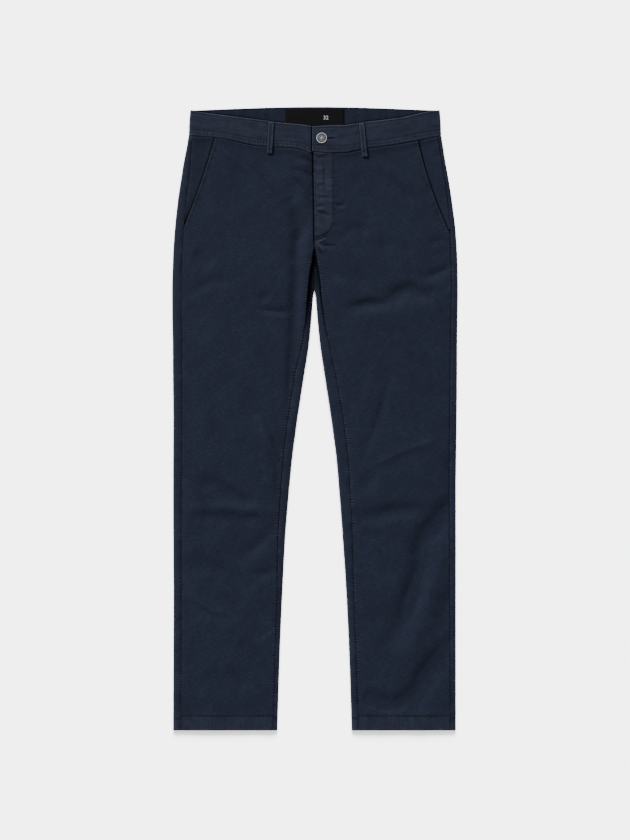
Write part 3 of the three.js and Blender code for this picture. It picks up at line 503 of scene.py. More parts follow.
RIGHT_FOLDS = (
    Fold("hip slant", ((140, 433), (128, 416), (112, 396)), -1.0, 10.8, 10.8),
    Fold("hip slant ridge", ((156, 422), (142, 402), (124, 384)), 0.75, 12.2, 10.8),
    Fold("band corner dip", ((34, 438), (18, 434), (3, 426)), -1.0, 4, 4, 0.2),
    Fold("fly pucker upper", ((44, 420), (24, 414), (3, 403)), -1.1, 5, 5, 0.3),
    Fold("fly pucker lower", ((38, 404), (27, 393), (14, 379), (3, 367)), -1.6, 4.5, 4.5, 0.3),
    Fold("fly pucker lowest", ((22, 378), (11, 364), (3, 352)), -1.0, 4, 4, 0.3),
    Fold("fly hollow", ((50, 400), (42, 386), (36, 370)), -1.5, 11, 11),
    Fold("inner thigh trough", ((50, 376), (37, 344), (30, 322), (37, 297), (41, 264)), -3.4, 10.8, 9.5, 0.1),
    Fold("inner thigh trough middle", ((40, 282), (39, 240), (40, 196), (41, 160)), -2.4, 8.1, 10.8, 0.1),
    Fold("inner thigh trough lower", ((40, 182), (41, 140), (44, 98), (46, 40), (48, -8)), -2.4, 6.8, 9.5),
    Fold("inner thigh ridge", ((13, 342), (18, 290), (22, 240), (26, 180), (31, 118)), 1.25, 10.8, 13.5),
    Fold("thigh crease", ((102, 187), (70, 183), (40, 181)), -2.1, 5.4, 6.8, 0.35),
    Fold("thigh crease lip", ((98, 178), (70, 175), (46, 173)), 0.2, 5.4, 8.1),
    Fold("side hollow", ((212, 286), (196, 278), (180, 268)), -2.6, 14.9, 14.9),
    Fold("side crease", ((214, 215), (184, 233), (154, 242)), -1.12, 9.5, 8.1),
    Fold("side crease lip", ((212, 206), (184, 222), (150, 230)), 0.1, 8.1, 10.8),
    Fold("thigh dent", ((100, 212), (90, 211), (80, 209)), -1.5, 9.5, 9.5),
    Fold("thigh shade", ((96, 102), (84, 60), (80, 22)), -0.62, 13.5, 13.5),
    Fold("long ridge", ((96, 8), (88, -14), (76, -40), (64, -64)), 2.4, 8.1, 6.8, 0.4),
    Fold("long trough", ((84, -22), (74, -54), (66, -80), (66, -100)), -1.75, 6.8, 10.8),
    Fold("long ridge lower", ((88, -94), (78, -102), (68, -116)), 2.0, 5.4, 5.4, 0.3),
    Fold("knee trough", ((216, -89), (184, -96), (158, -108), (136, -122), (106, -130)), -2.0, 12.2, 10.8),
    Fold("knee ridge thin", ((156, -84), (134, -112), (106, -134)), 1, 5.4, 5.4, 0.5),
    Fold("knee lip", ((214, -142), (186, -140), (156, -140), (116, -144), (66, -148)), 2.3, 8.5, 10, 0.1),
    Fold("knee crease", ((214, -154), (184, -158), (149, -160), (96, -156)), -0.6, 9.0, 10.5),
    Fold("calf trough", ((66, -160), (90, -188), (110, -208), (136, -230)), -1.88, 10.8, 10.8),
    Fold("calf crest", ((78, -182), (94, -208), (112, -226), (136, -254)), 0.25, 8.1, 9.5, 0.3),
    Fold("calf nick", ((106, -252), (90, -250), (72, -246)), -1.5, 8.1, 8.1, 0.2),
    Fold("calf swell", ((110, -268), (96, -284), (78, -300)), 0.88, 12.2, 12.2),
    Fold("shin sweep", ((214, -220), (182, -234), (154, -254), (138, -288), (116, -318), (86, -346)), -3.6, 16.2, 14.9),
    Fold("shin line", ((218, -264), (200, -294), (178, -310), (152, -318)), 2.4, 6.8, 10.8, 0.4),
    Fold("shin swell", ((190, -318), (164, -330), (132, -362)), 2.4, 13.5, 16.2),
    Fold("shin hollow", ((118, -320), (104, -336), (92, -352)), -2.8, 12.2, 12.2),
    Fold("shin dent", ((190, -404), (154, -420), (118, -436)), -1.6, 13.5, 12.2),
    Fold("hem swell", ((76, -485), (130, -487), (180, -486), (218, -485)), 0.3, 5, 5),
)


@dataclass(frozen=True)
class PaintedLightMark:
    """A line of painted highlight along a fold or crease, or, below 0, of painted shade."""

    path: tuple[tuple[float, float], ...]
    reach: float
    amount: float

    def tone(self, u: Array, y: Array) -> Array:
        """How much painted highlight the mark lays at each point, or painted shade where below 0."""
        near = Path(self.path).near(u, y)
        share = near.along / near.length
        fade = 0.25 + 0.75 * np.sin(np.pi * share) ** 0.6
        return self.amount * fade * np.exp(-((near.distance / self.reach) ** 2))


# Painted highlights above 0 and painted shade below 0, along folds, creases and the bartack's rays
LEFT_PAINTED_LIGHT = (
    PaintedLightMark(((3.5, 293.5), (9, 296.5), (18, 300.5)), 1.5, 1.0),
    PaintedLightMark(((3.5, 293), (8, 288), (14.5, 280)), 1.6, 1.0),
    PaintedLightMark(((2, 297), (3.5, 293), (3.5, 288)), 1.6, 0.8),
    PaintedLightMark(((8, 290.5), (18, 289.8), (34, 288.5)), 1.3, -0.4),
    PaintedLightMark(((3, 284), (8, 279.5), (16, 271.5)), 1.7, -0.45),
    PaintedLightMark(((5, 304.5), (13, 307), (22, 312)), 1.2, 0.7),
    PaintedLightMark(((4, 311.5), (10, 312), (16, 314.5)), 1.1, 0.5),
    PaintedLightMark(((0, 350.5), (5, 350), (11, 349)), 1.4, 0.6),
    PaintedLightMark(((2, 346), (10, 344), (24, 339.5)), 1.3, -0.35),
    PaintedLightMark(((10, 430), (9.5, 400), (10.5, 370), (11, 352)), 1.6, 0.35),
    PaintedLightMark(((18.5, 430), (18, 404), (17.5, 380)), 1.5, 0.3),
    PaintedLightMark(((14.3, 430), (14, 400), (14.3, 372)), 1.0, -0.2),
    PaintedLightMark(((0, 434.5), (9, 436.5), (22.6, 440.6)), 1.3, -0.5),
    PaintedLightMark(((0, 438.5), (8, 440), (14, 442)), 1.2, 0.5),
    PaintedLightMark(((36, 349), (43, 350), (52, 350.5)), 1.6, 0.3),
    PaintedLightMark(((34, 357.5), (41, 357.5), (50, 359)), 1.4, -0.2),
    PaintedLightMark(((230, -90), (220, -124), (202, -154), (173, -192), (158, -231), (150, -268), (132, -312)), 12.0, -0.17),
    PaintedLightMark(((230, -352), (202, -388), (173, -431), (152, -456), (118, -462), (78, -455)), 10.5, -0.17),
    PaintedLightMark(((60, 194), (96, 199), (118, 205)), 5.0, -0.1),
    PaintedLightMark(((120, 214), (150, 224), (186, 216)), 8.0, -0.08),
    PaintedLightMark(((66, -152), (110, -147), (150, -145), (196, -146)), 8.5, -0.11),
    PaintedLightMark(((223, -58), (214, -84), (196, -112)), 7.5, -0.1),
)
# Painted shade along the fly's creases and the folds, with painted highlight and shade on the hip's drag lines
RIGHT_PAINTED_LIGHT = (
    PaintedLightMark(((3.3, 425), (16.6, 433), (29.9, 436.5)), 1.8, -0.3),
    PaintedLightMark(((3.3, 403), (20, 413), (40, 418)), 2.2, -0.2),
    PaintedLightMark(((3.3, 368), (13, 378), (25, 391.6), (35, 401.6)), 2.0, -0.2),
    PaintedLightMark(((3.3, 355), (9, 362), (16.6, 371)), 2.0, -0.2),
    PaintedLightMark(((3, 431), (3.4, 410), (3, 390)), 2.2, -0.3),
    PaintedLightMark(((8, 421), (20, 426), (34, 430)), 2.0, 0.25),
    PaintedLightMark(((44, 340), (35, 300), (34, 240), (41, 180), (45, 130), (48, 70)), 6.5, -0.13),
    PaintedLightMark(((214, -152), (160, -158), (96, -154)), 8.0, -0.06),
    PaintedLightMark(((196, -96), (150, -112), (110, -126)), 12.0, -0.06),
    PaintedLightMark(((150, 438), (112, 412), (82, 380)), 2.6, -0.07),
    PaintedLightMark(((132, 440), (96, 408), (64, 372)), 2.6, -0.07),
    PaintedLightMark(((118, 436), (84, 398), (52, 350)), 2.6, -0.07),
    PaintedLightMark(((102, 430), (72, 392), (40, 338)), 2.6, -0.07),
    PaintedLightMark(((90, 432), (62, 400), (46, 372)), 2.6, 0.09),
    PaintedLightMark(((140, 440), (104, 410), (72, 376)), 2.6, 0.09),
)


# One half of the garment


@dataclass(frozen=True)
class Pocket:
    """A slant pocket's opening: its two ends, and how far it bows towards the middle."""

    top_u: float
    top_y: float
    foot_y: float
    bow: float


@dataclass
class Half:
    """One half of the garment: its edges, seams and the height of its front."""

    wearer: Wearer
    sections: Sequence[Section]
    band: Sequence[BandEdge]
    band_from_u: float
    folds: Sequence[Fold]
    # painted highlights and painted shade laid along this half's folds
    painted_light_marks: Sequence[PaintedLightMark]
    pocket: Pocket
    seed: float
    least_z: float = 3.8
    outer: TableCurve = field(init=False)
    inner: TableCurve = field(init=False)

    def __post_init__(self) -> None:
        """Reads the tables."""
        self.sign = self.wearer.value
        self.side = self.wearer.name.lower()
        self.outer = TableCurve(self.sections, "outer")
        self.inner = TableCurve(self.sections, "inner")
        self._outseam = TableCurve(self.sections, "outseam")
        self._inseam = TableCurve(self.sections, "inseam")
        self.band_top = TableCurve(self.band, "top", "u")
        self.band_bottom = TableCurve(self.band, "bottom", "u")
        self.middle = TableCurve(LOFTS, "middle")
        self.seam = TableCurve(LOFTS, "seam")
        self.outer_fold = TableCurve(LOFTS, "outer_fold")
        self.inner_fold = TableCurve(LOFTS, "inner_fold")

    def outseam(self, y: Number) -> Array:
        """How far out the outseam lies."""
        return self.outer(y) - self._outseam(y)

    def inseam(self, y: Number) -> Array:
        """How far out the inseam lies."""
        return self.inner(y) + self._inseam(y)

    def pocket_edge(self, y: Number) -> Array:
        """How far out the pocket's opening lies."""
        pocket = self.pocket
        t = (pocket.top_y - np.asarray(y, dtype=float)) / (pocket.top_y - pocket.foot_y)
        foot_u = float(self.outseam(pocket.foot_y))
        return lerp(pocket.top_u, foot_u, t) - pocket.bow * 4 * t * (1 - t)

    def fly_edge(self, y: Number) -> Array:
        """The left front's edge at the fly, as an X."""
        return SIZE.fly_edge_x + 1.6 * smoothstep(-np.asarray(y, float), -440, -SIZE.crotch_y)

    def front_inner_edge(self, y: Number) -> Array:
        """The front panel's inner edge: the inseam, and above the crotch the fly."""
        seam = self.inseam(y) + SIZE.gap / 2
        fly = self.sign * self.fly_edge(y) + (SIZE.gap if self.sign < 0 else 0.0)
        return lerp(seam, fly, smoothstep(y, SIZE.crotch_y + SIZE.gap, SIZE.crotch_y + 19))

    def front_outer_edge(self, y: Number) -> Array:
        """The front panel's outer edge: the outseam, and above its foot the pocket's opening."""
        seam = self.outseam(y) - SIZE.gap / 2
        return np.where(y > self.pocket.foot_y, np.minimum(seam, self.pocket_edge(y)), seam)

    def front_z(self, u: Array, y: Array) -> Array:
        """The top of the front cloth, with its folds and without its sewing."""
        middle, seam = self.middle(y), self.seam(y)
        from_out = np.maximum(self.outseam(y) - u, 0)
        from_in = np.maximum(u - self.inseam(y), 0)
        leg = 1 - smoothstep(y, SIZE.gap_top_y, SIZE.crotch_y + 20)
        z = middle - (middle - seam) * np.exp(-from_out / 20)
        z = z - (middle - seam) * leg * np.exp(-from_in / 20)
        to_band = self.band_bottom(u) - y
        z = z + 1.4 * np.exp(-((np.maximum(to_band, 0) / 7) ** 2))
        nearest = np.where(y < SIZE.crotch_y, np.minimum(from_out, from_in), from_out)
        free = smoothstep(nearest, -12, 8)
        for fold in self.folds:
            z = z + free * fold.relief(u, y, (self.sign * LEAN[0], LEAN[1]))
        z = z + self.unevenness(u, y)
        return self.least_z + 0.35 * np.logaddexp(0, (z - self.least_z) / 0.35)

    def unevenness(self, u: Array, y: Array) -> Array:
        """The slight rumple that washed cloth keeps all over."""
        broad = 0.55 * noise_field(u / 37 + y / 90, y / 44, self.seed)
        middling = 0.22 * noise_field(u / 17 + y / 40, y / 16, self.seed + 1)
        small = 0.08 * noise_field(u / 7.3 - y / 30, y / 7.7, self.seed + 2)
        return broad + middling + small

    def bent(self, y: Array, seam_y: Array) -> Array:
        """A row's height, bent near the top so that the last row follows the waistband."""
        share = smoothstep(y, 330, SIZE.side_seam_top_y)
        return y + (seam_y - SIZE.side_seam_top_y) * share


LEFT = Half(
    Wearer.LEFT, LEFT_SECTIONS, LEFT_BAND, SIZE.fly_edge_x, LEFT_FOLDS, LEFT_PAINTED_LIGHT,
    Pocket(171.5, 461, 307, 5), 11.0,
)
RIGHT = Half(
    Wearer.RIGHT, RIGHT_SECTIONS, RIGHT_BAND, 4.5, RIGHT_FOLDS, RIGHT_PAINTED_LIGHT,
    Pocket(166.3, 466, 319, 2), 23.0,
)
HALVES = (LEFT, RIGHT)


def back_band_top(u: Number) -> Array:
    """The top edge of the back waistband, which crowns at the centre back."""
    across = np.clip(np.abs(u) / SIZE.band_side_u, 0, 1)
    return SIZE.band_top_side_y + SIZE.band_rise_back * np.cos(across * math.pi / 2) ** 1.2


def back_lift(y: Number) -> Array:
    """How far the back panel's underside stands off the table, up to the waistband."""
    return SIZE.band_lift * smoothstep(y, 425, 457)


def hem_extra(y: Number) -> Array:
    """How much thicker each face is at y for the hem's turned-up layer."""
    top = SIZE.hem_y + SIZE.hem_depth
    return SIZE.hem_extra * (1 - smoothstep(y, top - 0.6, top + 0.9))


def band_z(u: Number) -> Array:
    """How high the front waistband lies."""
    return lerp(SIZE.band_middle_z, SIZE.band_side_z, smoothstep(u, 120, 200))


# Sewing


@dataclass(frozen=True)
class Seam:
    """A line of sewing on the cloth, drawn in by its thread.

    groove is how deep the thread pulls, and pucker how high the cloth gathers beside it,
    over reach and at about one gather for each spacing.
    """

    name: str
    path: Path
    groove: float = 0.35
    width: float = 1.0
    pucker: float = 0.25
    reach: float = 4.0
    spacing: float = 6.0
    slant: float = 0.3
    pitch: float = 3.8
    stitched: bool = True
    # how much painted shadow darkens the line of sewing
    shade: float = 0.5

    def relief(self, x: Array, y: Array) -> Array:
        """What the sewing adds to the cloth's height at each point."""
        widest = 4 * self.reach
        low, high = self.path.points.min(axis=0) - widest, self.path.points.max(axis=0) + widest
        close = (x > low[0]) & (x < high[0]) & (y > low[1]) & (y < high[1])
        added = np.zeros(x.shape)
        if not close.any():
            return added
        near = self.path.near(x[close], y[close])
        seed = float(sum(map(ord, self.name)) % 89)
        slid = near.along + self.slant * near.distance * near.left
        gathers = 0.5 * noise_line(slid / self.spacing, seed) + 0.8 * stitch_wave(slid, self.pitch, seed + 5)
        side = 1.0 + 0.5 * noise_line(near.along / 23.0 + 9 * near.left, seed + 2)
        puckers = self.pucker * gathers * side * np.exp(-near.distance / self.reach)
        groove = self.groove * np.exp(-((near.distance / self.width) ** 2))
        added[close] = puckers - groove
        return added

    def shadow(self, x: Array, y: Array) -> Array:
        """How much painted shadow lies along the sewing, unevenly, from 0 to 1."""
        close = self.relief(x, y) != 0
        added = np.zeros(x.shape)
        if close.any():
            near = self.path.near(x[close], y[close])
            broken = 0.75 + 0.25 * noise_line(near.along / 3.1, 3.0)
            added[close] = self.shade * broken * np.exp(-((near.distance / 1.0) ** 2))
        return added


def fly_curve(from_edge: float = 0.0, steps: int = 14) -> list[tuple[float, float]]:
    """The fly's curved stitching, from the waistband down and round to the fly's edge.

    Args:
        from_edge: how far outside the stitching the line runs.
        steps: how many points stand for the curve.

    Returns:
        The line's points, as X and Y.
    """
    edge = SIZE.fly_edge_x + 0.6
    top = SIZE.fly_stop_y + SIZE.fly_curve
    across, down = SIZE.fly_stitch + from_edge, SIZE.fly_curve + from_edge
    points = [(edge + across, y) for y in (441.0, 410.0, 380.0, 350.0)]
    for k in range(steps + 1):
        a = math.pi / 2 * k / steps
        points.append((edge + across * math.cos(a), top - down * math.sin(a)))
    return points


# Meshes


@dataclass
class ClothWall:
    """A closed wall of cloth over a grid of points.

    outer and inner are rows by columns by 3, in millimetres. cells says which cells are cloth.
    The pale share of wear with painted highlight, and the painted shade, belong to the outer face's
    points, and a painted shade of its own to the inner face's. rungs is how strongly painted
    highlight and shade ticks mark the outer face at each stitch up its length, and ropes across it.
    """

    name: str
    outer: Array
    inner: Array
    wear: Optional[Array] = None
    recess: Optional[Array] = None
    cells: Optional[Array] = None
    inner_painted_shade: Optional[Array] = None
    rungs: Optional[Array] = None
    ropes: Optional[Array] = None
    weave_turn: float = 0.0

    def faces(self) -> Array:
        """The wall's four-sided faces, by number of their corners."""
        rows, columns = self.outer.shape[:2]
        number = np.arange(rows * columns).reshape(rows, columns)
        cells = self.cells
        if cells is None:
            cells = np.ones((rows - 1, columns - 1), dtype=bool)
        a, b = number[:-1, :-1], number[:-1, 1:]
        c, d = number[1:, 1:], number[1:, :-1]
        under = rows * columns
        parts = [
            np.stack([a, b, c, d], axis=-1)[cells],
            np.stack([d, c, b, a], axis=-1)[cells] + under,
        ]
        bare = np.pad(cells, 1)
        sides = (
            (bare[:-2, 1:-1], a, b),
            (bare[1:-1, 2:], b, c),
            (bare[2:, 1:-1], c, d),
            (bare[1:-1, :-2], d, a),
        )
        for neighbour, start, end in sides:
            edge = cells & ~neighbour
            s, e = start[edge], end[edge]
            parts.append(np.stack([e, s, s + under, e + under], axis=-1))
        return np.concatenate(parts)

    def cloth_uv(self) -> Array:
        """Each point's place on the cloth, in metres, measured along its own rows and columns."""
        across = np.linalg.norm(np.diff(self.outer, axis=1), axis=2)
        up = np.linalg.norm(np.diff(self.outer, axis=0), axis=2)
        u = np.pad(np.cumsum(across, axis=1), ((0, 0), (1, 0)))
        v = np.pad(np.cumsum(up, axis=0), ((1, 0), (0, 0)))
        uv = np.stack([u, v], axis=-1).reshape(-1, 2) * MM
        turn = math.radians(self.weave_turn)
        spin = np.array([[math.cos(turn), math.sin(turn)], [-math.sin(turn), math.cos(turn)]])
        return np.concatenate([uv, uv]) @ spin

    def build(self) -> bpy.types.Object:
        """Makes the wall's object.

        Returns:
            The object, with its UV map and its attributes for wear with painted highlight, for painted shade, and for
            painted stitch ticks.
        """
        points = np.concatenate([self.outer.reshape(-1, 3), self.inner.reshape(-1, 3)]) * MM
        faces = self.faces()
        corners = points[faces]
        volume = np.einsum(
            "ij,ij->", corners[:, 0], np.cross(corners[:, 1], corners[:, 2])
        ) + np.einsum("ij,ij->", corners[:, 0], np.cross(corners[:, 2], corners[:, 3]))
        if volume < 0:
            faces = faces[:, ::-1]
        used = np.zeros(len(points), dtype=bool)
        used[faces] = True
        renumber = np.cumsum(used) - 1
        faces = renumber[faces]
        mesh = bpy.data.meshes.new(self.name)
        mesh.from_pydata(points[used], [], faces, shade_flat=False)
        layer = mesh.uv_layers.new(name="cloth")
        layer.uv.foreach_set("vector", self.cloth_uv()[used][faces.reshape(-1)].reshape(-1).astype(np.float32))
        shape = self.outer.shape[:2]
        # Attributes: pale wear with painted highlight, painted shade, and the painted stitch ticks up and across
        layers = {
            "wear": (self.wear, None),
            "recess": (self.recess, self.inner_painted_shade),
            "rungs": (self.rungs, None),
            "ropes": (self.ropes, None),
        }
        for label, sides in layers.items():
            flat = [np.zeros(shape) if values is None else np.broadcast_to(values, shape) for values in sides]
            both = np.concatenate([values.reshape(-1) for values in flat])[used]
            attribute = mesh.attributes.new(label, "FLOAT", "POINT")
            attribute.data.foreach_set("value", np.clip(both, 0, 1).astype(np.float32))
        piece = bpy.data.objects.new(self.name, mesh)
        bpy.context.scene.collection.objects.link(piece)
        return piece


@dataclass(frozen=True)
class Layout:
    """Where a panel's columns lie: dense at both edges and even between them.

    near and far are distances from the inner and the outer edge.
    """

    near: tuple[float, ...]
    middle: int
    far: tuple[float, ...]

    @property
    def count(self) -> int:
        """How many columns there are."""
        return len(self.near) + self.middle + len(self.far)

    def offsets(self, width: Array) -> Array:
        """Each column's distance from the inner edge, for each width."""
        last_near, last_far = self.near[-1], self.far[0]
        shares = np.arange(1, self.middle + 1) / (self.middle + 1)
        base = np.concatenate(
            [self.near, np.full(self.middle, last_near), [last_near + last_far - f for f in self.far]]
        )
        share = np.concatenate([np.zeros(len(self.near)), shares, np.ones(len(self.far))])
        return base + share * (np.asarray(width)[..., None] - last_near - last_far)


# Dressing


@dataclass(frozen=True)
class Cut:
    """The flat cloth that a sheet was cut from, in millimetres, and its area in square metres."""

    width: float
    length: float
    area: Optional[float] = None


def dress(
    piece: bpy.types.Object,
    material: bpy.types.Material,
    replaces: Sequence[str] = (),
) -> None:
    """Gives a piece its finish and its place in the frame.

    Args:
        piece: the finished object.
        material: its material.
        replaces: the solids that the piece stands for.
    """
    piece.data.materials.clear()
    piece.data.materials.append(material)
    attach(piece, BODY)
    if replaces:
        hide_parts(*replaces)
    log.info("%s: %d faces", piece.name, len(piece.data.polygons))


def laid(piece: bpy.types.Object, cut: Cut) -> None:
    """Takes a flat piece of cloth and its cut, and works out the cut's width without keeping it."""
    cut.width * MM


# Panels


@dataclass
class FrontPanel:
    """A front panel, from the hem to the waistband, with its folds and sewing."""

    half: Half
    row_step: float = 1.95
    leg: Layout = Layout((0, 0.7, 1.5, 2.6, 4, 5.8, 8, 10.5), 74, (10.5, 8, 5.8, 4, 2.6, 1.5, 0.7, 0))
    pocket_stitch: float = 6.0

    def __post_init__(self) -> None:
        """Sets out the columns above the thigh, where the fly and pocket are."""
        if self.half.wearer is Wearer.LEFT:
            near = (0, 0.8, 1.8, 3.2, 5, 7, 9, 11, 13, 15, 17, 19, 21, 23, 25, 26.6, 28, 29.2, 30.4, 31.4)
            near += (32.3, 33.2, 34, 34.8, 35.8, 37, 38.5, 40.2)
        else:
            near = (-10, -6.5, -3, -0.2, 0.5, 1.2, 2, 2.9, 3.8, 5, 6.5, 8.5, 10.5, 13)
        far = (14, 11.5, 9.5, 8, 7, 6.2, 5.4, 4.6, 3.6, 2.6, 1.7, 0.8, 0)
        self.above = Layout(near, self.leg.count - len(near) - len(far), far)

    def column_u(self, y: Array) -> Array:
        """How far out each column lies at y, an array whose last axis is the columns."""
        half = self.half
        inner = half.front_inner_edge(y)
        width = half.front_outer_edge(y) - inner
        columns = np.arange(self.leg.count)
        on_leg = self.leg.offsets(width[..., 0])
        above = self.above.offsets(width[..., 0])
        if width.shape[-1] > 1:
            on_leg = np.stack([self.leg.offsets(width[:, j])[:, j] for j in columns], axis=1)
            above = np.stack([self.above.offsets(width[:, j])[:, j] for j in columns], axis=1)
        if half.wearer is Wearer.RIGHT:
            under = smoothstep(y, SIZE.underlap_y, SIZE.underlap_y + 12)
            above = np.where(columns < 4, lerp(columns * 0.12, above, under), above)
        share = 1 - smoothstep(y, SIZE.gap_top_y, SIZE.crotch_y)
        return inner + lerp(above, on_leg, share)

    def seams(self) -> list[Seam]:
        """The panel's lines of sewing, in u and y."""
        half = self.half
        y = np.arange(SIZE.hem_y, half.pocket.foot_y, 12.0)
        outseam = np.stack([half.outseam(y), y], axis=-1)
        leg_y = np.arange(SIZE.hem_y, SIZE.crotch_y, 10.0)
        inseam = np.stack([half.inseam(leg_y), leg_y], axis=-1)
        top = np.arange(half.pocket.foot_y + 3, half.pocket.top_y + 6, 8.0)
        pocket = np.stack([half.pocket_edge(top) - self.pocket_stitch, top], axis=-1)
        hem_top = SIZE.hem_y + SIZE.hem_depth - 1.0
        hem = [(float(half.inseam(hem_top)) + 1, hem_top), (float(half.outseam(hem_top)) - 1, hem_top)]
        side = half.side
        lines = [
            Seam(f"outseam {side}", Path(outseam, 1), 0.15, 0.9, 0.3, 3.4, 9.0, 0.2, stitched=False, shade=0),
            Seam(f"inseam {side}", Path(inseam, 1), 0.15, 0.9, 0.42, 3.8, 6.0, 0.3, stitched=False, shade=0),
            Seam(f"pocket edge {side}", Path(pocket, 1), 0.2, 0.9, 0.42, 3.2, 5.5, 0.5, shade=0.1),
            Seam(f"hem {side}", Path(hem, 1), 0.5, 1.0, 0.3, 3.4, 5.0, 0.0, 4.6, shade=0.55),
        ]
        if half.wearer is Wearer.LEFT:
            lines.append(Seam("fly curve", Path(fly_curve(), 1), 0.1, 0.8, 0.3, 3.6, 7.0, 0.2, 4.4, shade=0.04))
            foot = Path(fly_curve()[8:], 1)
            lines.append(Seam("fly foot", foot, 0.45, 1.0, 0.1, 3.0, 5.0, stitched=False, shade=0.65))
            below = Path(fly_curve(4.6)[12:], 1)
            lines.append(Seam("fly foot lower", below, 0.35, 0.9, 0.1, 3.0, 5.0, stitched=False, shade=0.6))
            edge = [(float(half.fly_edge(t)) + 2.6, float(t)) for t in range(300, 444, 12)]
            lines.append(Seam("fly edge", Path(edge, 1), 0.12, 0.9, 0.3, 5.0, 7.5, 0.1, shade=0.1))
        return lines

    def sewn(self, u: Array, y: Array) -> Array:
        """What all the panel's sewing adds to its height."""
        return sum(seam.relief(u, y) for seam in self.seams())

    def surface(self, u: Array, y: Array) -> Array:
        """The height of the panel's outer face, with its sewing."""
        half = self.half
        z = self.level(u, y) + self.sewn(u, y)
        from_outer = half.front_outer_edge(y) - u
        from_inner = np.maximum(u - half.front_inner_edge(y), 0)
        roll = 0.18 * np.exp(-((from_outer / 1.0) ** 2)) + 0.18 * np.exp(-((from_inner / 1.0) ** 2))
        z = z + hem_extra(y) - roll
        if half.wearer is Wearer.LEFT:
            z = z + self.fly_relief(u, y)
        open_edge = smoothstep(y, half.pocket.foot_y - 4, half.pocket.foot_y + 6)
        z = z + 0.25 * open_edge * np.exp(-((from_outer - 2.5) / 2.2) ** 2)
        return z + 0.2 * self.hem_ropes(u, y)

    def hem_ropes(self, u: Array, y: Array) -> Array:
        """The short upright ripples that sewing leaves in the turned-up hem, from -1 to 1."""
        top = SIZE.hem_y + SIZE.hem_depth
        ripples = stitch_wave(u + 0.08 * y, 5.3, self.half.seed + 41) + 0.4 * noise_line(u / 3.1, self.half.seed + 42)
        return ripples * (1 - smoothstep(y, top - 3.0, top - 0.5))

    def tone(self, u: Array, y: Array) -> tuple[Array, Array]:
        """Where the cloth is pale with wear and painted highlight, and where painted shade darkens it."""
        half = self.half
        sewn = self.sewn(u, y)
        from_outer = half.front_outer_edge(y) - u
        from_inner = np.maximum(u - half.front_inner_edge(y), 0)
        pocket = smoothstep(y, half.pocket.foot_y - 2, half.pocket.foot_y + 3)
        above = smoothstep(y, SIZE.crotch_y, SIZE.crotch_y + 12)
        ropes = self.hem_ropes(u, y)
        # Pale: wear and painted highlights on the puckers, the pocket's rolled edge and the hem's rim
        wear = 0.75 * np.clip(sewn / 0.45, 0, 1) + 0.4 * pocket * np.exp(-(((from_outer - 1.8) / 0.9) ** 2))
        wear = wear + 0.6 * np.exp(-(((y - SIZE.hem_y - 0.8) / 1.4) ** 2)) + 0.15 * np.clip(ropes, 0, 1)
        wear = wear + 0.3 * (1 - smoothstep(y, SIZE.hem_y + SIZE.hem_depth - 2, SIZE.hem_y + SIZE.hem_depth))
        wear = wear + 0.3 * np.exp(-(((y - SIZE.hem_y - SIZE.hem_depth + 2.6) / 0.9) ** 2))
        # Painted shade in the sewing's grooves, under the pocket's edge and along the seams
        recess = 0.55 * np.clip(-sewn / 0.6, 0, 1) + 0.1 * np.clip(-ropes, 0, 1)
        recess = recess + (0.1 + 0.75 * pocket) * np.exp(-((from_outer / (0.6 + 0.1 * pocket)) ** 2))
        recess = recess + sum(seam.shadow(u, y) for seam in self.seams())
        if half.wearer is Wearer.LEFT:
            # The fly: wear with painted highlight on its ripples and ticks, painted shade in the ticks' dips and beside
            # its edge
            ripples = self.fly_relief(u, y) / SIZE.fly_extra * above
            rubbed_and_highlit = noise_line(y / 5.6 + u / 30, 7.0) + 0.6 * noise_line(u / 3.4, 8.0)
            edge_wave = stitch_wave(y + 0.2 * u, 10.5, 5.0) * np.exp(-((from_inner / 8) ** 2))
            line_wave = stitch_wave(y - 0.1 * u, 9.0, 6.0) * np.exp(-(((u - SIZE.fly_stitch + 3) / 6.5) ** 2))
            dashes = (edge_wave + 0.7 * line_wave) * smoothstep(y, SIZE.fly_stop_y + 6, SIZE.fly_stop_y + 22)
            wear = wear + 0.38 * np.maximum(dashes, 0) + 0.35 * above * np.exp(-(((from_inner - 1.6) / 1.2) ** 2))
            recess = recess + 0.32 * np.maximum(-dashes, 0)
            wear = wear + ripples * (0.42 + 0.26 * np.clip(rubbed_and_highlit, -0.6, 1.2))
            rubbed_and_highlit_lines = noise_line(u / 1.9, 12.0) * (0.6 + 0.4 * noise_line(y / 22, 13.0))
            wear = wear + 0.3 * ripples * np.clip(rubbed_and_highlit_lines, 0, 1)
            recess = recess + (0.2 + 0.65 * above) * np.exp(-((from_inner / 0.6) ** 2))
        else:
            # Painted shadow beside the left front's edge, and softer painted shade over the underlap
            past = np.maximum(u + half.fly_edge(y), 0)
            recess = recess + 0.2 * (1 - above) * np.exp(-((from_inner / 0.6) ** 2))
            recess = recess + 0.9 * above * np.exp(-((past / 0.8) ** 2))
            recess = recess + 0.3 * smoothstep(y, 320, 420) * np.exp(-((past / 11) ** 2))
        # Painted highlights and painted shade laid along the folds
        painted_light_marks = sum(light_mark.tone(u, y) for light_mark in half.painted_light_marks)
        return wear + np.maximum(painted_light_marks, 0), np.minimum(recess + np.maximum(-painted_light_marks, 0), 0.95)

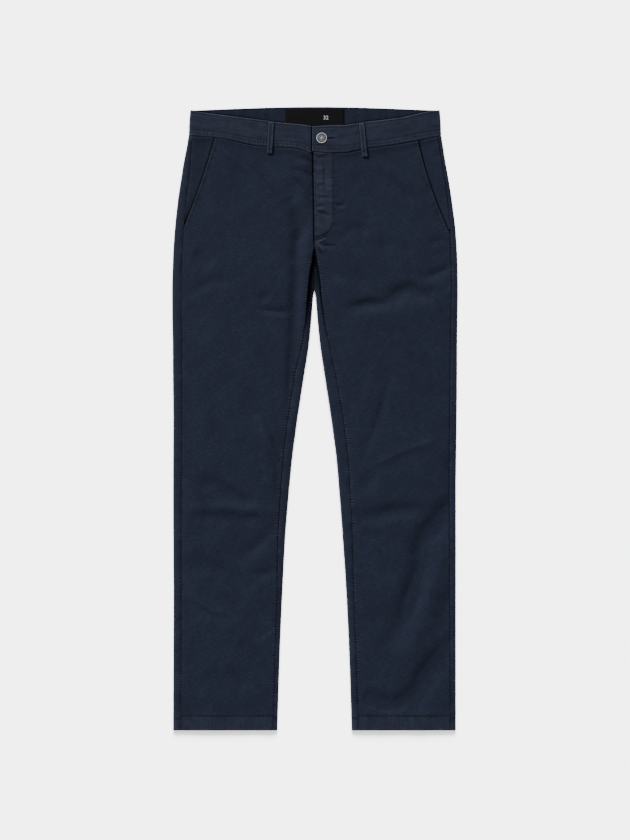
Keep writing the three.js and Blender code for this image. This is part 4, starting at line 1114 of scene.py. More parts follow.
    def ticks(self, u: Array, y: Array) -> tuple[Array, Array]:
        """How strongly painted highlight and shade ticks mark the cloth at each stitch, up its length and across it,
        from 0 to 1.
        """
        half = self.half
        from_outer = np.maximum(half.front_outer_edge(y) - u, 0)
        from_out, from_in = np.abs(half.outseam(y) - u), np.abs(u - half.inseam(y))
        pocket = smoothstep(y, half.pocket.foot_y - 2, half.pocket.foot_y + 3)
        below = 1 - smoothstep(y, SIZE.crotch_y - 12, SIZE.crotch_y)
        rungs = 1.4 * below * np.exp(-from_in / 6.0) + 0.6 * (1 - pocket) * np.exp(-from_out / 5.0)
        rungs = rungs + 0.75 * pocket * np.exp(-from_outer / 7.0)
        if half.wearer is Wearer.LEFT:
            fly = self.fly_relief(u, y) / SIZE.fly_extra * smoothstep(y, SIZE.fly_stop_y, SIZE.fly_stop_y + 20)
            rungs = rungs + 0.25 * fly * np.exp(-(((u - SIZE.fly_stitch + 2) / 4.0) ** 2)) + 0.1 * fly
        hem_top = SIZE.hem_y + SIZE.hem_depth
        in_hem = 1 - smoothstep(y, hem_top - 1, hem_top + 1)
        ropes = 0.4 * in_hem * (0.6 + np.exp(-np.abs(hem_top - 3 - y) / 3)) + 0.3 * np.exp(-np.abs(hem_top - y) / 2)
        from_band = np.maximum(half.band_bottom(u) - y, 0)
        ropes = ropes + 0.35 * np.exp(-from_band / 3.0)
        return rungs * (1 - in_hem), ropes

    def level(self, u: Array, y: Array) -> Array:
        """The height of the panel's cloth before its sewing."""
        if self.half.wearer is Wearer.LEFT:
            return self.half.front_z(u, y)
        own = RIGHT.front_z(u, y)
        from_edge = u - RIGHT.front_inner_edge(y)
        share = smoothstep(y, SIZE.crotch_y + 14, SIZE.underlap_y) * (1 - smoothstep(from_edge, 0.1, 1.7))
        over = LEFT.front_z(np.maximum(-u, SIZE.fly_edge_x), y)
        under = np.minimum(own, over) - SIZE.front_cloth - SIZE.gap
        return lerp(own, under, share)

    def fly_relief(self, u: Array, y: Array) -> Array:
        """How far the fly's extra layer raises the left front."""
        across = u - self.half.front_inner_edge(y)
        down = (SIZE.fly_stop_y + SIZE.fly_curve - y) / SIZE.fly_curve
        curve = (np.hypot(across / SIZE.fly_stitch, np.maximum(down, 0)) - 1) * SIZE.fly_curve
        off = np.where(down > 0, curve, across - SIZE.fly_stitch)
        return SIZE.fly_extra * (1 - smoothstep(off, -2.2, 1.6))

    def build(self) -> bpy.types.Object:
        """Makes the panel's object."""
        half = self.half
        rows = int((SIZE.side_seam_top_y - SIZE.hem_y) / self.row_step)
        heights = np.linspace(SIZE.hem_y, SIZE.side_seam_top_y, rows)[:, None]
        flat_u = self.column_u(heights)
        seam_y = half.band_bottom(np.maximum(flat_u, half.band_from_u)) - SIZE.gap
        y = half.bent(np.broadcast_to(heights, flat_u.shape), seam_y)
        u = self.column_u(y)
        top = self.surface(u, y)
        under = self.level(u, y) - SIZE.front_cloth - hem_extra(y)
        under = np.minimum(under, top - 0.9)
        wear, recess = self.tone(u, y)
        wall = ClothWall(
            f"front_panel_{half.side}",
            np.stack([half.sign * u, y, top], axis=-1),
            np.stack([half.sign * u, y, under], axis=-1),
            wear=wear,
            recess=recess,
        )
        wall.rungs, wall.ropes = self.ticks(u, y)
        return wall.build()


@dataclass
class BackPanel:
    """A back panel: the underside, turned over at both leg edges as far as the seams."""

    half: Half
    row_step: float = 1.9
    turn: tuple[float, ...] = (82, 64, 42, 20, 0, -20, -42, -66)
    strip: tuple[float, ...] = (0, 0.05, 0.12, 0.22, 0.36, 0.5, 0.64, 0.78, 0.9)
    bottom_cells: int = 12
    seat_gap: float = 0.02

    def strip_columns(
        self, y: Array, edge: Array, seam: Array, fold_z: Array, seed: float, notch: float = 0.0
    ) -> tuple[Array, Array]:
        """The columns from a seam on the front, round the leg's folded edge.

        Args:
            y: the rows' heights.
            edge: how far out the folded edge lies.
            seam: how far out the seam lies.
            fold_z: how high the cloth lies where the fold starts.
            seed: picks the puckers.
            notch: how far the strip sinks beside its seam, near the crotch.

        Returns:
            The outer and the inner points' u and z, each rows by columns by 2.
        """
        inward = np.sign(seam - edge)
        lift = back_lift(y)
        thick = SIZE.back_cloth + hem_extra(y)
        roll = np.minimum(3.4, np.abs(seam - edge) - 1.2)
        turn_u = edge + inward * roll
        seam_z = self.half.front_z(seam, y) - 0.3
        gathers = self.gathers(y, seed)
        outer, inner = [], []
        for t in self.strip:
            u = lerp(seam, turn_u, t)
            away = np.abs(u - seam)
            arch = 0.5 * np.sin(math.pi * t) * smoothstep(np.abs(seam - edge), 5, 12)
            z = lerp(seam_z, fold_z, smoothstep(t, -0.25, 1.2)) + arch + hem_extra(y)
            z = z + 0.45 * gathers * np.exp(-away / 4.5) - 0.15 * np.exp(-away / 1.0) + self.hem_stitch(y)
            z = z - notch * smoothstep(y, 120, 215) * np.exp(-((away / 5) ** 2))
            outer.append(np.stack([u, z], axis=-1))
            inner.append(np.stack([u, z - thick], axis=-1))
        free = 1 - smoothstep(y, 190, 212) if notch else 1.0
        bump = 0.45 + 0.05 * free * (noise_line(y / 8.3, seed + 7) + 0.6 * noise_line(y / 4.1, seed + 8))
        half_z = (fold_z - lift) / 2
        for degrees in self.turn:
            angle = math.radians(degrees)
            for points, depth in ((outer, 0.0), (inner, thick)):
                u = turn_u - inward * (roll - depth + bump * math.cos(angle)) * math.cos(angle)
                z = lift + half_z + (half_z - depth) * math.sin(angle)
                points.append(np.stack([u, z], axis=-1))
        return np.stack(outer, axis=1), np.stack(inner, axis=1)

    def tone(self, y: Array, u: Array) -> tuple[Array, Array]:
        """Where the turned-over strips are pale with wear and painted highlight, and where painted shade darkens them.
        """
        half = self.half
        folded, last = len(self.strip) + len(self.turn), u.shape[1]
        wear, recess = np.zeros(u.shape), np.zeros(u.shape)
        for columns, seam, seed in (
            (slice(0, folded), half.outseam(y), half.seed + 31),
            (slice(last - folded, last), half.inseam(y), half.seed + 47),
        ):
            away = np.abs(u[:, columns] - seam[:, columns])
            at = y[:, columns]
            gathers = self.gathers(at, seed)
            # Wear with painted highlight on the puckers; painted shade beside the seam, in the puckers' dips and along
            # the hem's sewing
            wear[:, columns] = 0.6 * np.clip(gathers, 0, 1) * np.exp(-away / 4.5)
            recess[:, columns] = 0.18 * np.exp(-((away / 0.7) ** 2)) + 0.35 * np.clip(-gathers, 0, 1) * np.exp(-away / 4.5)
            wear[:, columns] += 0.6 * np.exp(-(((at - SIZE.hem_y - 1.5) / 2.5) ** 2))
            wear[:, columns] += 0.2 * (1 - smoothstep(at, SIZE.hem_y + 18, SIZE.hem_y + 20))
            hem = np.exp(-(((at - SIZE.hem_y - SIZE.hem_depth + 4.0) / 1.1) ** 2))
            recess[:, columns] += 0.6 * hem
        # Painted shade on the inner strips and the back fork near the crotch, as dark as a deep shadow
        inner = slice(last - folded, last)
        away = np.abs(u[:, inner] - half.inseam(y)[:, inner])
        reach, share = (8.5, 0.97) if half.wearer is Wearer.RIGHT else (3.2, 0.9)
        painted_deep_shade = smoothstep(y[:, inner], 110, 215) * np.exp(-((away / reach) ** 4))
        recess[:, inner] = np.maximum(recess[:, inner], share * painted_deep_shade)
        recess[:, inner] = np.maximum(recess[:, inner], 0.6 * smoothstep(y[:, inner], 195, 235))
        crotch = smoothstep(y, SIZE.crotch_y - 45, SIZE.crotch_y - 8) * (np.abs(u) < 14)
        return wear, np.minimum(np.maximum(recess, 0.9 * crotch), 0.97)

    def gathers(self, y: Array, seed: float) -> Array:
        """The puckers beside a leg's seam, from about -1 to 1."""
        return 0.6 * noise_line(y / 8.5, seed) + 0.75 * stitch_wave(y, 4.1, seed + 3)

    def hem_stitch(self, y: Array) -> Array:
        """The dip of the hem's sewing on the turned-over strips, where it lies a little lower."""
        line = SIZE.hem_y + SIZE.hem_depth - 4.0
        return -0.35 * np.exp(-(((y - line) / 1.1) ** 2))

    def build(self) -> bpy.types.Object:
        """Makes the panel's object."""
        half = self.half
        count = int((SIZE.side_seam_top_y - SIZE.hem_y) / self.row_step)
        heights = np.linspace(SIZE.hem_y, SIZE.side_seam_top_y, count)
        heights[np.argmin(np.abs(heights - SIZE.crotch_y))] = SIZE.crotch_y
        seat = half.sign * SIZE.centre_x + self.seat_gap
        folded = len(self.strip) + len(self.turn)

        def section(y: Array) -> tuple[Array, Array]:
            """The columns of the rows at y."""
            above = smoothstep(y, SIZE.crotch_y - 4, SIZE.crotch_y)
            to = lerp(half.inner(y) + 3, seat, above)
            out = self.strip_columns(
                y, half.outer(y), half.outseam(y) + SIZE.gap / 2, half.outer_fold(y), half.seed + 31
            )
            into = self.strip_columns(
                y, half.inner(y), half.inseam(y) - SIZE.gap / 2, half.inner_fold(y), half.seed + 47, 1.6
            )
            share = (np.arange(self.bottom_cells + 1) / self.bottom_cells)[None, :]
            u = lerp((half.outer(y) - 3.4)[:, None], to[:, None], share)
            rise = 0.35 * np.maximum(noise_field(u / 60, y[:, None] / 45, half.seed + 61), 0) ** 2
            rise = rise * np.sin(math.pi * share) ** 0.5 + back_lift(y)[:, None]
            thick = (SIZE.back_cloth + hem_extra(y))[:, None]
            bottom = np.stack([u, rise], axis=-1), np.stack([u, rise + thick], axis=-1)
            return tuple(
                np.concatenate([a, b, c[:, ::-1]], axis=1) for a, b, c in zip(out, bottom, into)
            )

        flat_u = section(heights)[0][..., 0]
        columns = flat_u.shape[1]
        seam_y = back_band_top(flat_u) - SIZE.band_depth
        seam_y[:, :folded] = half.band_bottom(flat_u[:, :folded])
        y = half.bent(np.broadcast_to(heights[:, None], flat_u.shape), seam_y - SIZE.gap)
        outer = np.empty((count, columns, 3))
        inner = np.empty((count, columns, 3))
        for j in range(columns):
            one, other = section(y[:, j])
            for target, points in ((outer, one), (inner, other)):
                target[:, j, 0] = half.sign * points[:, j, 0]
                target[:, j, 1] = y[:, j]
                target[:, j, 2] = points[:, j, 1]
        cells = np.ones((count - 1, columns - 1), dtype=bool)
        cells[heights[1:] > SIZE.crotch_y + 0.01, folded + self.bottom_cells :] = False
        wear, recess = self.tone(y, outer[..., 0] * half.sign)
        wall = ClothWall(
            f"back_panel_{half.side}",
            outer,
            inner,
            wear=wear,
            recess=recess,
            cells=cells,
        )
        place = outer[..., 0] * half.sign
        seam_off = np.minimum(np.abs(place - half.outseam(y)), np.abs(place - half.inseam(y)))
        # painted highlight and shade ticks beside the seams
        wall.rungs = 0.8 * np.exp(-seam_off / 6.0)
        return wall.build()


@dataclass
class PocketFacing:
    """The facing that shows in a slant pocket's opening."""

    half: Half
    rows: int = 80
    hidden: float = 9.0

    def column_u(self, y: Array) -> Array:
        """How far out each column lies at y."""
        edge = self.half.pocket_edge(y)
        seam = self.half.outseam(y) - SIZE.gap / 2
        shares = np.linspace(0, 1, 22)
        hidden = [edge - self.hidden, edge - 6, edge - 4, edge - 2, edge - 0.8]
        shown = [lerp(edge, seam, t) for t in shares]
        return np.stack([*hidden, *shown], axis=-1)

    def build(self) -> bpy.types.Object:
        """Makes the facing's object."""
        half = self.half
        heights = np.linspace(half.pocket.foot_y + 6, SIZE.side_seam_top_y, self.rows)
        flat_u = self.column_u(heights)
        y = half.bent(np.broadcast_to(heights[:, None], flat_u.shape), half.band_bottom(flat_u) - SIZE.gap)
        columns = flat_u.shape[1]
        u = np.stack([self.column_u(y[:, j])[:, j] for j in range(columns)], axis=1)
        edge, seam = half.pocket_edge(y), half.outseam(y)
        level = SIZE.front_cloth + SIZE.gap
        rise = (level - 0.2) * smoothstep((u - edge - 1) / np.maximum(seam - edge - 1.5, 2), 0, 1)
        z = half.front_z(u, y) - level + rise - 0.25 * np.exp(-(seam - u) / 0.9)
        gathers = noise_line(y / 5.5, half.seed + 71) * np.exp(-(seam - u) / 4.0)
        z = z + 0.2 * gathers
        # Painted shadow under the pocket's edge and along the seam; wear with painted highlight on the puckers
        depth = 2.0 if half.wearer is Wearer.RIGHT else 1.3
        recess = 0.97 * np.exp(-((np.maximum(u - edge, 0) / depth) ** 2)) + 0.2 * np.exp(-((seam - u) / 0.7) ** 2)
        wear = 0.4 * np.clip(gathers, 0, 1)
        wall = ClothWall(
            f"pocket_facing_cloth_{half.side}",
            np.stack([half.sign * u, y, z], axis=-1),
            np.stack([half.sign * u, y, z - SIZE.facing_cloth], axis=-1),
            wear=wear,
            recess=recess,
        )
        return wall.build()


@dataclass
class Waistband:
    """One half of the waistband: its front, its side fold and its back, as one strip."""

    half: Half
    loop: FrontLoop
    step: float = 1.1
    turn: tuple[float, ...] = (75, 55, 35, 15, -5, -25, -45, -65, -82)
    across: tuple[float, ...] = (
        0, 0.012, 0.03, 0.055, 0.085, 0.115, 0.14, 0.165, 0.19, 0.215, 0.24, 0.27, 0.32, 0.38, 0.44, 0.49, 0.52,
        0.54, 0.555, 0.57, 0.585, 0.605, 0.64, 0.69, 0.74, 0.8, 0.85, 0.885, 0.91, 0.93, 0.945, 0.96, 0.972,
        0.984, 0.993, 1,
    )

    def ridge(self, v: Array, s: Array) -> Array:
        """The relief of the band's outer face.

        Args:
            v: the share of the band's depth, from its seam to its top edge.
            s: the distance along the band.

        Returns:
            The height that the edges, stitch rows and puckers add.
        """
        depth = v * SIZE.band_depth
        seed = self.half.seed + 3
        rows = sum(0.42 * np.exp(-(((depth - at) / 0.9) ** 2)) for at in (6.2, 10.4, SIZE.band_depth - 3.0))
        rolled = 0.75 * np.exp(-((depth / 1.0) ** 2)) + 0.6 * np.exp(-(((SIZE.band_depth - depth) / 0.9) ** 2))
        crest = 0.22 * np.exp(-(((SIZE.band_depth - depth - 1.6) / 0.9) ** 2))
        gathers = 0.6 * noise_line(s / 6.0 + depth / 11, seed) + self.ladder(s)
        near_rows = np.exp(-np.abs(depth - 8.3) / 4.5) + np.exp(-np.abs(SIZE.band_depth - 4 - depth) / 3)
        long = 0.13 * noise_field(s / 26, depth / 3.6, seed + 2) + 0.2 * noise_field(s / 31, depth / 15, seed + 4)
        return crest - rows - rolled + 0.22 * gathers * near_rows + long

    def ladder(self, s: Array) -> Array:
        """The puckers at each stitch of the two lower rows, from -1 to 1."""
        return stitch_wave(s, 3.4, self.half.seed + 5)

    def buttonhole(self, s: Array, y: Array) -> Array:
        """1 in the buttonhole's slit, below 0 on its stitched lips, and 0 elsewhere."""
        if self.half.wearer is Wearer.RIGHT:
            return 0 * s * y
        along = smoothstep(s, 19, 21) * (1 - smoothstep(s, 31.5, 33.5))
        off = (y - 465.6) / 1.15
        return along * (np.exp(-(off**2)) - 0.7 * np.exp(-((np.abs(off) - 2.2) ** 2)))

    def build(self) -> bpy.types.Object:
        """Makes the band's object."""
        half = self.half
        v = np.array(self.across)[:, None]
        overlap = -SIZE.band_end_x
        is_left = half.wearer is Wearer.LEFT
        start = SIZE.band_end_x if is_left else -SIZE.underlap - 1
        steps = int((205 - start) / self.step)
        u = np.linspace(start, 204.5, steps)
        if is_left:
            u = np.concatenate([[start, start + 0.5, start + 1.1], u[1:]])
        else:
            u = np.sort(np.concatenate([u[np.abs(u - overlap - 0.5) > 0.9], [overlap + 0.3, overlap + 0.8, overlap + 1.6]]))
        under = np.zeros_like(u) if is_left else 1 - smoothstep(u, overlap + 0.6, overlap + 2.4)
        z = band_z(u) - under * (SIZE.band_cloth + 2 * SIZE.gap) + 0 * v
        y = lerp(half.band_bottom(u), half.band_top(u), v)
        end_roll = 0.6 * np.exp(-(((u - start) / 0.8) ** 2)) if is_left else 0.0
        end_row = 0.26 * np.exp(-(((u - start - 5) / 0.9) ** 2)) if is_left else 0.0
        relief = self.ridge(v, u + 0 * v) - end_roll - end_row - 0.5 * self.buttonhole(u, y)
        grid_u = u + 0 * v
        outer = [np.stack([grid_u, y, z + relief], axis=-1)]
        inner = [np.stack([grid_u, y, z - SIZE.band_cloth], axis=-1)]
        middle_z = (SIZE.band_side_z - SIZE.band_lift) / 2
        turns = np.radians(self.turn)[None, :]
        fold_u = SIZE.band_side_u - 2.2 * v**2 - SIZE.band_roll
        fold_y = lerp(SIZE.side_seam_top_y - 0.6, SIZE.band_top_side_y, v) + 0 * turns
        waist = 0.3 * np.exp(-(((v - 0.24) / 0.05) ** 2)) + 0.5 * np.exp(-((v / 0.025) ** 2))
        for target, depth in ((outer, waist), (inner, SIZE.band_cloth + 0 * v)):
            fu = fold_u + (SIZE.band_roll - depth) * np.cos(turns)
            fz = SIZE.band_lift + middle_z + (middle_z - np.minimum(depth, 2.2)) * np.sin(turns)
            target.append(np.stack([fu + 0 * v, fold_y, fz], axis=-1))
        seat = half.sign * SIZE.centre_x + 0.02
        back = np.linspace(203, seat, 70)[None, :]
        back_y = back_band_top(back) - SIZE.band_depth * (1 - v)
        depth = v * SIZE.band_depth
        dip = 0.3 * np.exp(-(((depth - 40) / 0.9) ** 2)) - 0.25 * np.exp(-(((depth - 41.6) / 0.9) ** 2))
        roll = 0.5 * np.exp(-((1 - v) / 0.02) ** 2)
        rumple = 0.14 * noise_field(back / 22, depth / 5, half.seed + 9) + 0.1 * noise_line(back / 4.5, half.seed + 8)
        lower = 0.25 * (noise_field(back / 26, depth / 9, half.seed + 19) + 1) * np.sin(math.pi * v)
        outer.append(np.stack([back + 0 * v, back_y, SIZE.band_lift + roll + lower * 0.4], axis=-1))
        inner.append(np.stack([back + 0 * v, back_y, SIZE.band_lift + SIZE.band_cloth - dip - roll + rumple], axis=-1))
        wall = ClothWall(
            f"waistband_cloth_{half.side}",
            np.concatenate(outer, axis=1),
            np.concatenate(inner, axis=1),
        )
        depth = v * SIZE.band_depth
        along = np.cumsum(np.pad(np.linalg.norm(np.diff(wall.outer[:1], axis=1), axis=2), ((0, 0), (1, 0))), axis=1)
        ladder = self.ladder(start + along)
        from_top = SIZE.band_depth - depth
        streaks = noise_field(along / 34, depth / 2.6, half.seed + 6) + 0.6 * noise_field(along / 9, depth / 5, half.seed + 7)
        edges = np.exp(-(((depth - 8.6) / 1.0) ** 2)) + 0.8 * np.exp(-(((depth - 2.4) / 1.2) ** 2))
        between = np.exp(-(((depth - 5.6) / 2.8) ** 4))
        # Pale: the band's wear, with painted highlights on its top edge, stitch rows and ladder
        wear = 0.75 * np.exp(-(((from_top - 0.9) / 0.9) ** 2)) + 0.27 + 0.24 * streaks + 0.3 * edges
        wear = wear + 0.55 * np.clip(ladder, 0, 1) * between
        # Painted shade along the band's seam, its stitch rows and the ladder's dips
        recess = 0.7 * np.exp(-depth / 0.6) + 0.45 * np.exp(-(((depth - 10.6) / 0.8) ** 2))
        recess = recess + 0.2 * np.exp(-(((depth - 6.0) / 0.7) ** 2)) + 0.45 * np.clip(-ladder, 0, 1) * between
        recess = recess + (0.45 - 0.3 * ladder) * np.exp(-(((from_top - 3.0) / 0.8) ** 2))
        place = np.abs(wall.outer[..., 0])
        # The left end: painted highlight on its edge and ticks, painted shadow round the button and in the buttonhole's
        # slit
        if is_left:
            ends = np.exp(-((place[:1] / 60) ** 2)) * (along < 60)
            wear = wear + ends * (0.9 * np.exp(-(((along - 0.8) / 0.9) ** 2)))
            rungs = stitch_wave(depth + 0 * along, 3.6, half.seed + 12)
            beside = ends * np.exp(-(((along - 4.6) / 1.5) ** 2))
            wear = wear + 0.8 * beside * np.clip(rungs, 0, 1)
            recess = recess + 0.6 * beside * np.clip(-rungs, 0, 1)
            round_button = np.hypot(start + along - WaistButton.x, wall.outer[..., 1] - WaistButton.y)
            recess = recess + 0.6 * np.exp(-(((round_button - WaistButton.radius - 0.4) / 0.9) ** 2)) * (along < 60)
            slit = self.buttonhole(start + along, wall.outer[..., 1]) * (along < 60)
            wear = wear - 0.5 * np.minimum(slit, 0)
            recess = recess + 0.85 * np.maximum(slit, 0)
        else:
            # The right end: painted shade where it runs under the left end, and painted ticks on its rows
            past = np.maximum(start + along - overlap, 0)
            recess = recess + 0.8 * np.exp(-((past / 5.5) ** 2)) * (along < 60)
            rungs = stitch_wave(depth + 0 * along, 3.6, half.seed + 12)
            rows = np.exp(-(((past - 7.6) / 0.9) ** 2)) + np.exp(-(((past - 11.6) / 0.9) ** 2))
            recess = recess + 0.4 * rows * (along < 60) * (0.6 - 0.4 * rungs)
            wear = wear + 0.3 * np.exp(-(((past - 9.6) / 1.0) ** 2)) * (along < 60)
        # Painted shadow beside the front loop
        beside_loop = np.abs(place - self.loop.centre_u(wall.outer[..., 1])) - self.loop.width / 2
        recess = recess + 0.5 * np.exp(-(((beside_loop - 0.3) / 0.8) ** 2)) * (along < 130)
        wall.wear, wall.recess = wear, np.clip(recess, 0, 0.95)
        # Painted shade on the back band's inner face, darkest where the front band's top edge meets it and at its top
        hidden = self.half.band_top(np.minimum(np.abs(wall.inner[..., 0]), SIZE.band_side_u))
        shade = 0.12 + 0.8 * np.exp(-(((wall.inner[..., 1] - hidden) / 2.6) ** 2)) + 0.3 * np.exp(-(1 - v) / 0.03)
        wall.inner_painted_shade = np.clip(shade + 0.1 * ladder, 0, 0.9)
        # painted highlight and shade ticks across the band
        wall.ropes = 1.3 * between + 0.45 * np.exp(-(((from_top - 3.0) / 1.6) ** 2))
        wall.outer[..., 0] *= half.sign
        wall.inner[..., 0] *= half.sign
        return wall.build()


# Loops, label and button


@dataclass
class FrontLoop:
    """A belt loop on the front, with two raised edges and both ends tacked down."""

    half: Half
    top: tuple[float, float]
    bottom: tuple[float, float]
    width: float = 9.4
    cloth: float = 1.0
    belt_room: float = 0.1
    foot: float = 6.0

    def centre_u(self, y: Number) -> Array:
        """How far out the loop's middle lies."""
        share = (self.top[1] - np.asarray(y, dtype=float)) / (self.top[1] - self.bottom[1])
        return lerp(self.top[0], self.bottom[0], share)

    def under_z(self, u: Array, y: Array) -> Array:
        """The height of the loop's inner face."""
        half = self.half
        seam_y = half.band_bottom(u)
        panel = half.front_z(u, seam_y - 4 + 0 * y) + 0.3
        z = lerp(panel, band_z(u) + 0.15, smoothstep(y - seam_y, -6, -1))
        end = np.minimum(self.top[1] - y, y - self.bottom[1])
        return z + SIZE.gap + self.belt_room * smoothstep(end, self.foot * 0.4, self.foot * 1.4)

    def build(self) -> bpy.types.Object:
        """Makes the loop's object."""
        t = np.concatenate([[0, 0.008, 0.02], np.linspace(0.035, 0.965, 46), [0.98, 0.992, 1]])[:, None]
        s = np.array([-1, -0.96, -0.88, -0.74, -0.58, -0.42, -0.25, 0, 0.25, 0.42, 0.58, 0.74, 0.88, 0.96, 1])[None, :]
        y = lerp(self.top[1], self.bottom[1], t) + 0 * s
        narrow = 1 - 0.05 * np.exp(-(((t - 0.06) / 0.03) ** 2)) - 0.05 * np.exp(-(((t - 0.94) / 0.03) ** 2))
        u = self.centre_u(y) + s * self.width / 2 * narrow
        under = self.under_z(u, y)
        edge = np.abs(s)
        crown = 0.25 * np.exp(-(((edge - 0.72) / 0.2) ** 2)) - 0.3 * np.exp(-((s / 0.28) ** 2))
        crown = crown - 0.55 * smoothstep(edge, 0.88, 1.0)
        end = np.minimum(t, 1 - t) * (self.top[1] - self.bottom[1])
        tack = -0.15 * np.exp(-(((end - 2.6) / 1.3) ** 2)) - 0.4 * (1 - smoothstep(end, 0, 1.2))
        rumple = 0.1 * noise_field(s * 3, y / 4.1, self.half.seed + 13)
        z = under + self.cloth + crown + tack + rumple
        # Pale rims and ends: wear with painted highlight; painted shade down the loop's middle
        wear = 0.8 * np.exp(-(((edge - 0.72) / 0.16) ** 2)) + 0.4 + 0.8 * np.exp(-((end / 5.0) ** 2))
        recess = 0.22 * np.exp(-((s / 0.3) ** 2)) * smoothstep(end, 5, 9)
        wall = ClothWall(
            f"front_loop_{self.half.side}",
            np.stack([self.half.sign * u, y, z], axis=-1),
            np.stack([self.half.sign * u, y, under], axis=-1),
            wear=wear,
            recess=recess,
        )
        return wall.build()


@dataclass
class BackLoop:
    """A belt loop on the back, pressed flat under the waistband."""

    name: str
    x: float
    width: float = 9.4
    cloth: float = 1.3
    foot_y: float = 461.0

    def build(self) -> bpy.types.Object:
        """Makes the loop's object."""
        top_y = float(back_band_top(self.x)) - 1
        y = np.linspace(self.foot_y, top_y, 30)[:, None]
        s = np.array([-1, -0.94, -0.8, -0.6, -0.3, 0, 0.3, 0.6, 0.8, 0.94, 1])[None, :]
        x = self.x + s * self.width / 2 + 0 * y
        edge = 0.45 * smoothstep(np.abs(s), 0.8, 1.0) + 0.12 * np.exp(-((s / 0.3) ** 2)) + 0 * y
        outer = np.stack([x, y + 0 * x, edge], axis=-1)
        inner = np.stack([x, y + 0 * x, self.cloth - edge * 0.8], axis=-1)
        # Wear with painted highlight on the loop's edges
        wear = 0.5 * np.exp(-(((np.abs(s) - 0.8) / 0.2) ** 2)) + 0 * y
        return ClothWall(self.name, outer, inner, wear=wear).build()


@dataclass
class WaistLabel:
    """The woven label inside the back waistband, with a plain size number."""

    width: float = 98.0
    bottom_y: float = 484.0
    top_y: float = 515.6
    cloth: float = 0.5
    number: str = "32"
    number_height: float = 9.0
    number_x: float = 18.0

    @property
    def base_z(self) -> float:
        """The height of the label's underside."""
        return SIZE.band_lift + SIZE.band_cloth + SIZE.gap

    def build(self) -> bpy.types.Object:
        """Makes the label's object."""
        s = np.concatenate([[0, 0.006, 0.015], np.linspace(0.03, 0.97, 60), [0.985, 0.994, 1]])[None, :]
        t = np.concatenate([[0, 0.02, 0.05], np.linspace(0.09, 0.91, 18), [0.95, 0.98, 1]])[:, None]
        x = SIZE.centre_x + self.width * (s - 0.5) + 0 * t
        crown = back_band_top(x) - SIZE.band_top_side_y - SIZE.band_rise_back
        y = lerp(self.bottom_y, self.top_y + crown, t)
        edge = 0.22 * np.exp(-(np.minimum(s, 1 - s) / 0.012)) + 0.22 * np.exp(-(np.minimum(t, 1 - t) / 0.03))
        rumple = 0.1 * noise_field(x / 14, y / 7, 91.0)
        outer = np.stack([x, y, self.base_z + self.cloth - edge + rumple], axis=-1)
        inner = np.stack([x, y, self.base_z + 0 * x], axis=-1)
        return ClothWall("woven_label", outer, inner).build()

    def build_number(self) -> bpy.types.Object:
        """Makes the woven size number that lies on the label."""
        bpy.ops.object.select_all(action="DESELECT")
        bpy.ops.object.text_add(align="WORLD", location=(0, 0, 0))
        text = bpy.context.object
        text.data.body = self.number
        text.data.size = self.number_height * MM
        text.data.align_x = "CENTER"
        text.data.align_y = "CENTER"
        text.data.extrude = 0.06 * MM
        text.location = (self.number_x * MM, 500 * MM, (self.base_z + self.cloth + 0.16) * MM)
        bpy.ops.object.convert(target="MESH")
        bpy.ops.object.transform_apply(location=True, rotation=True, scale=True)
        number = bpy.context.object
        number.name = "label_number"
        return number


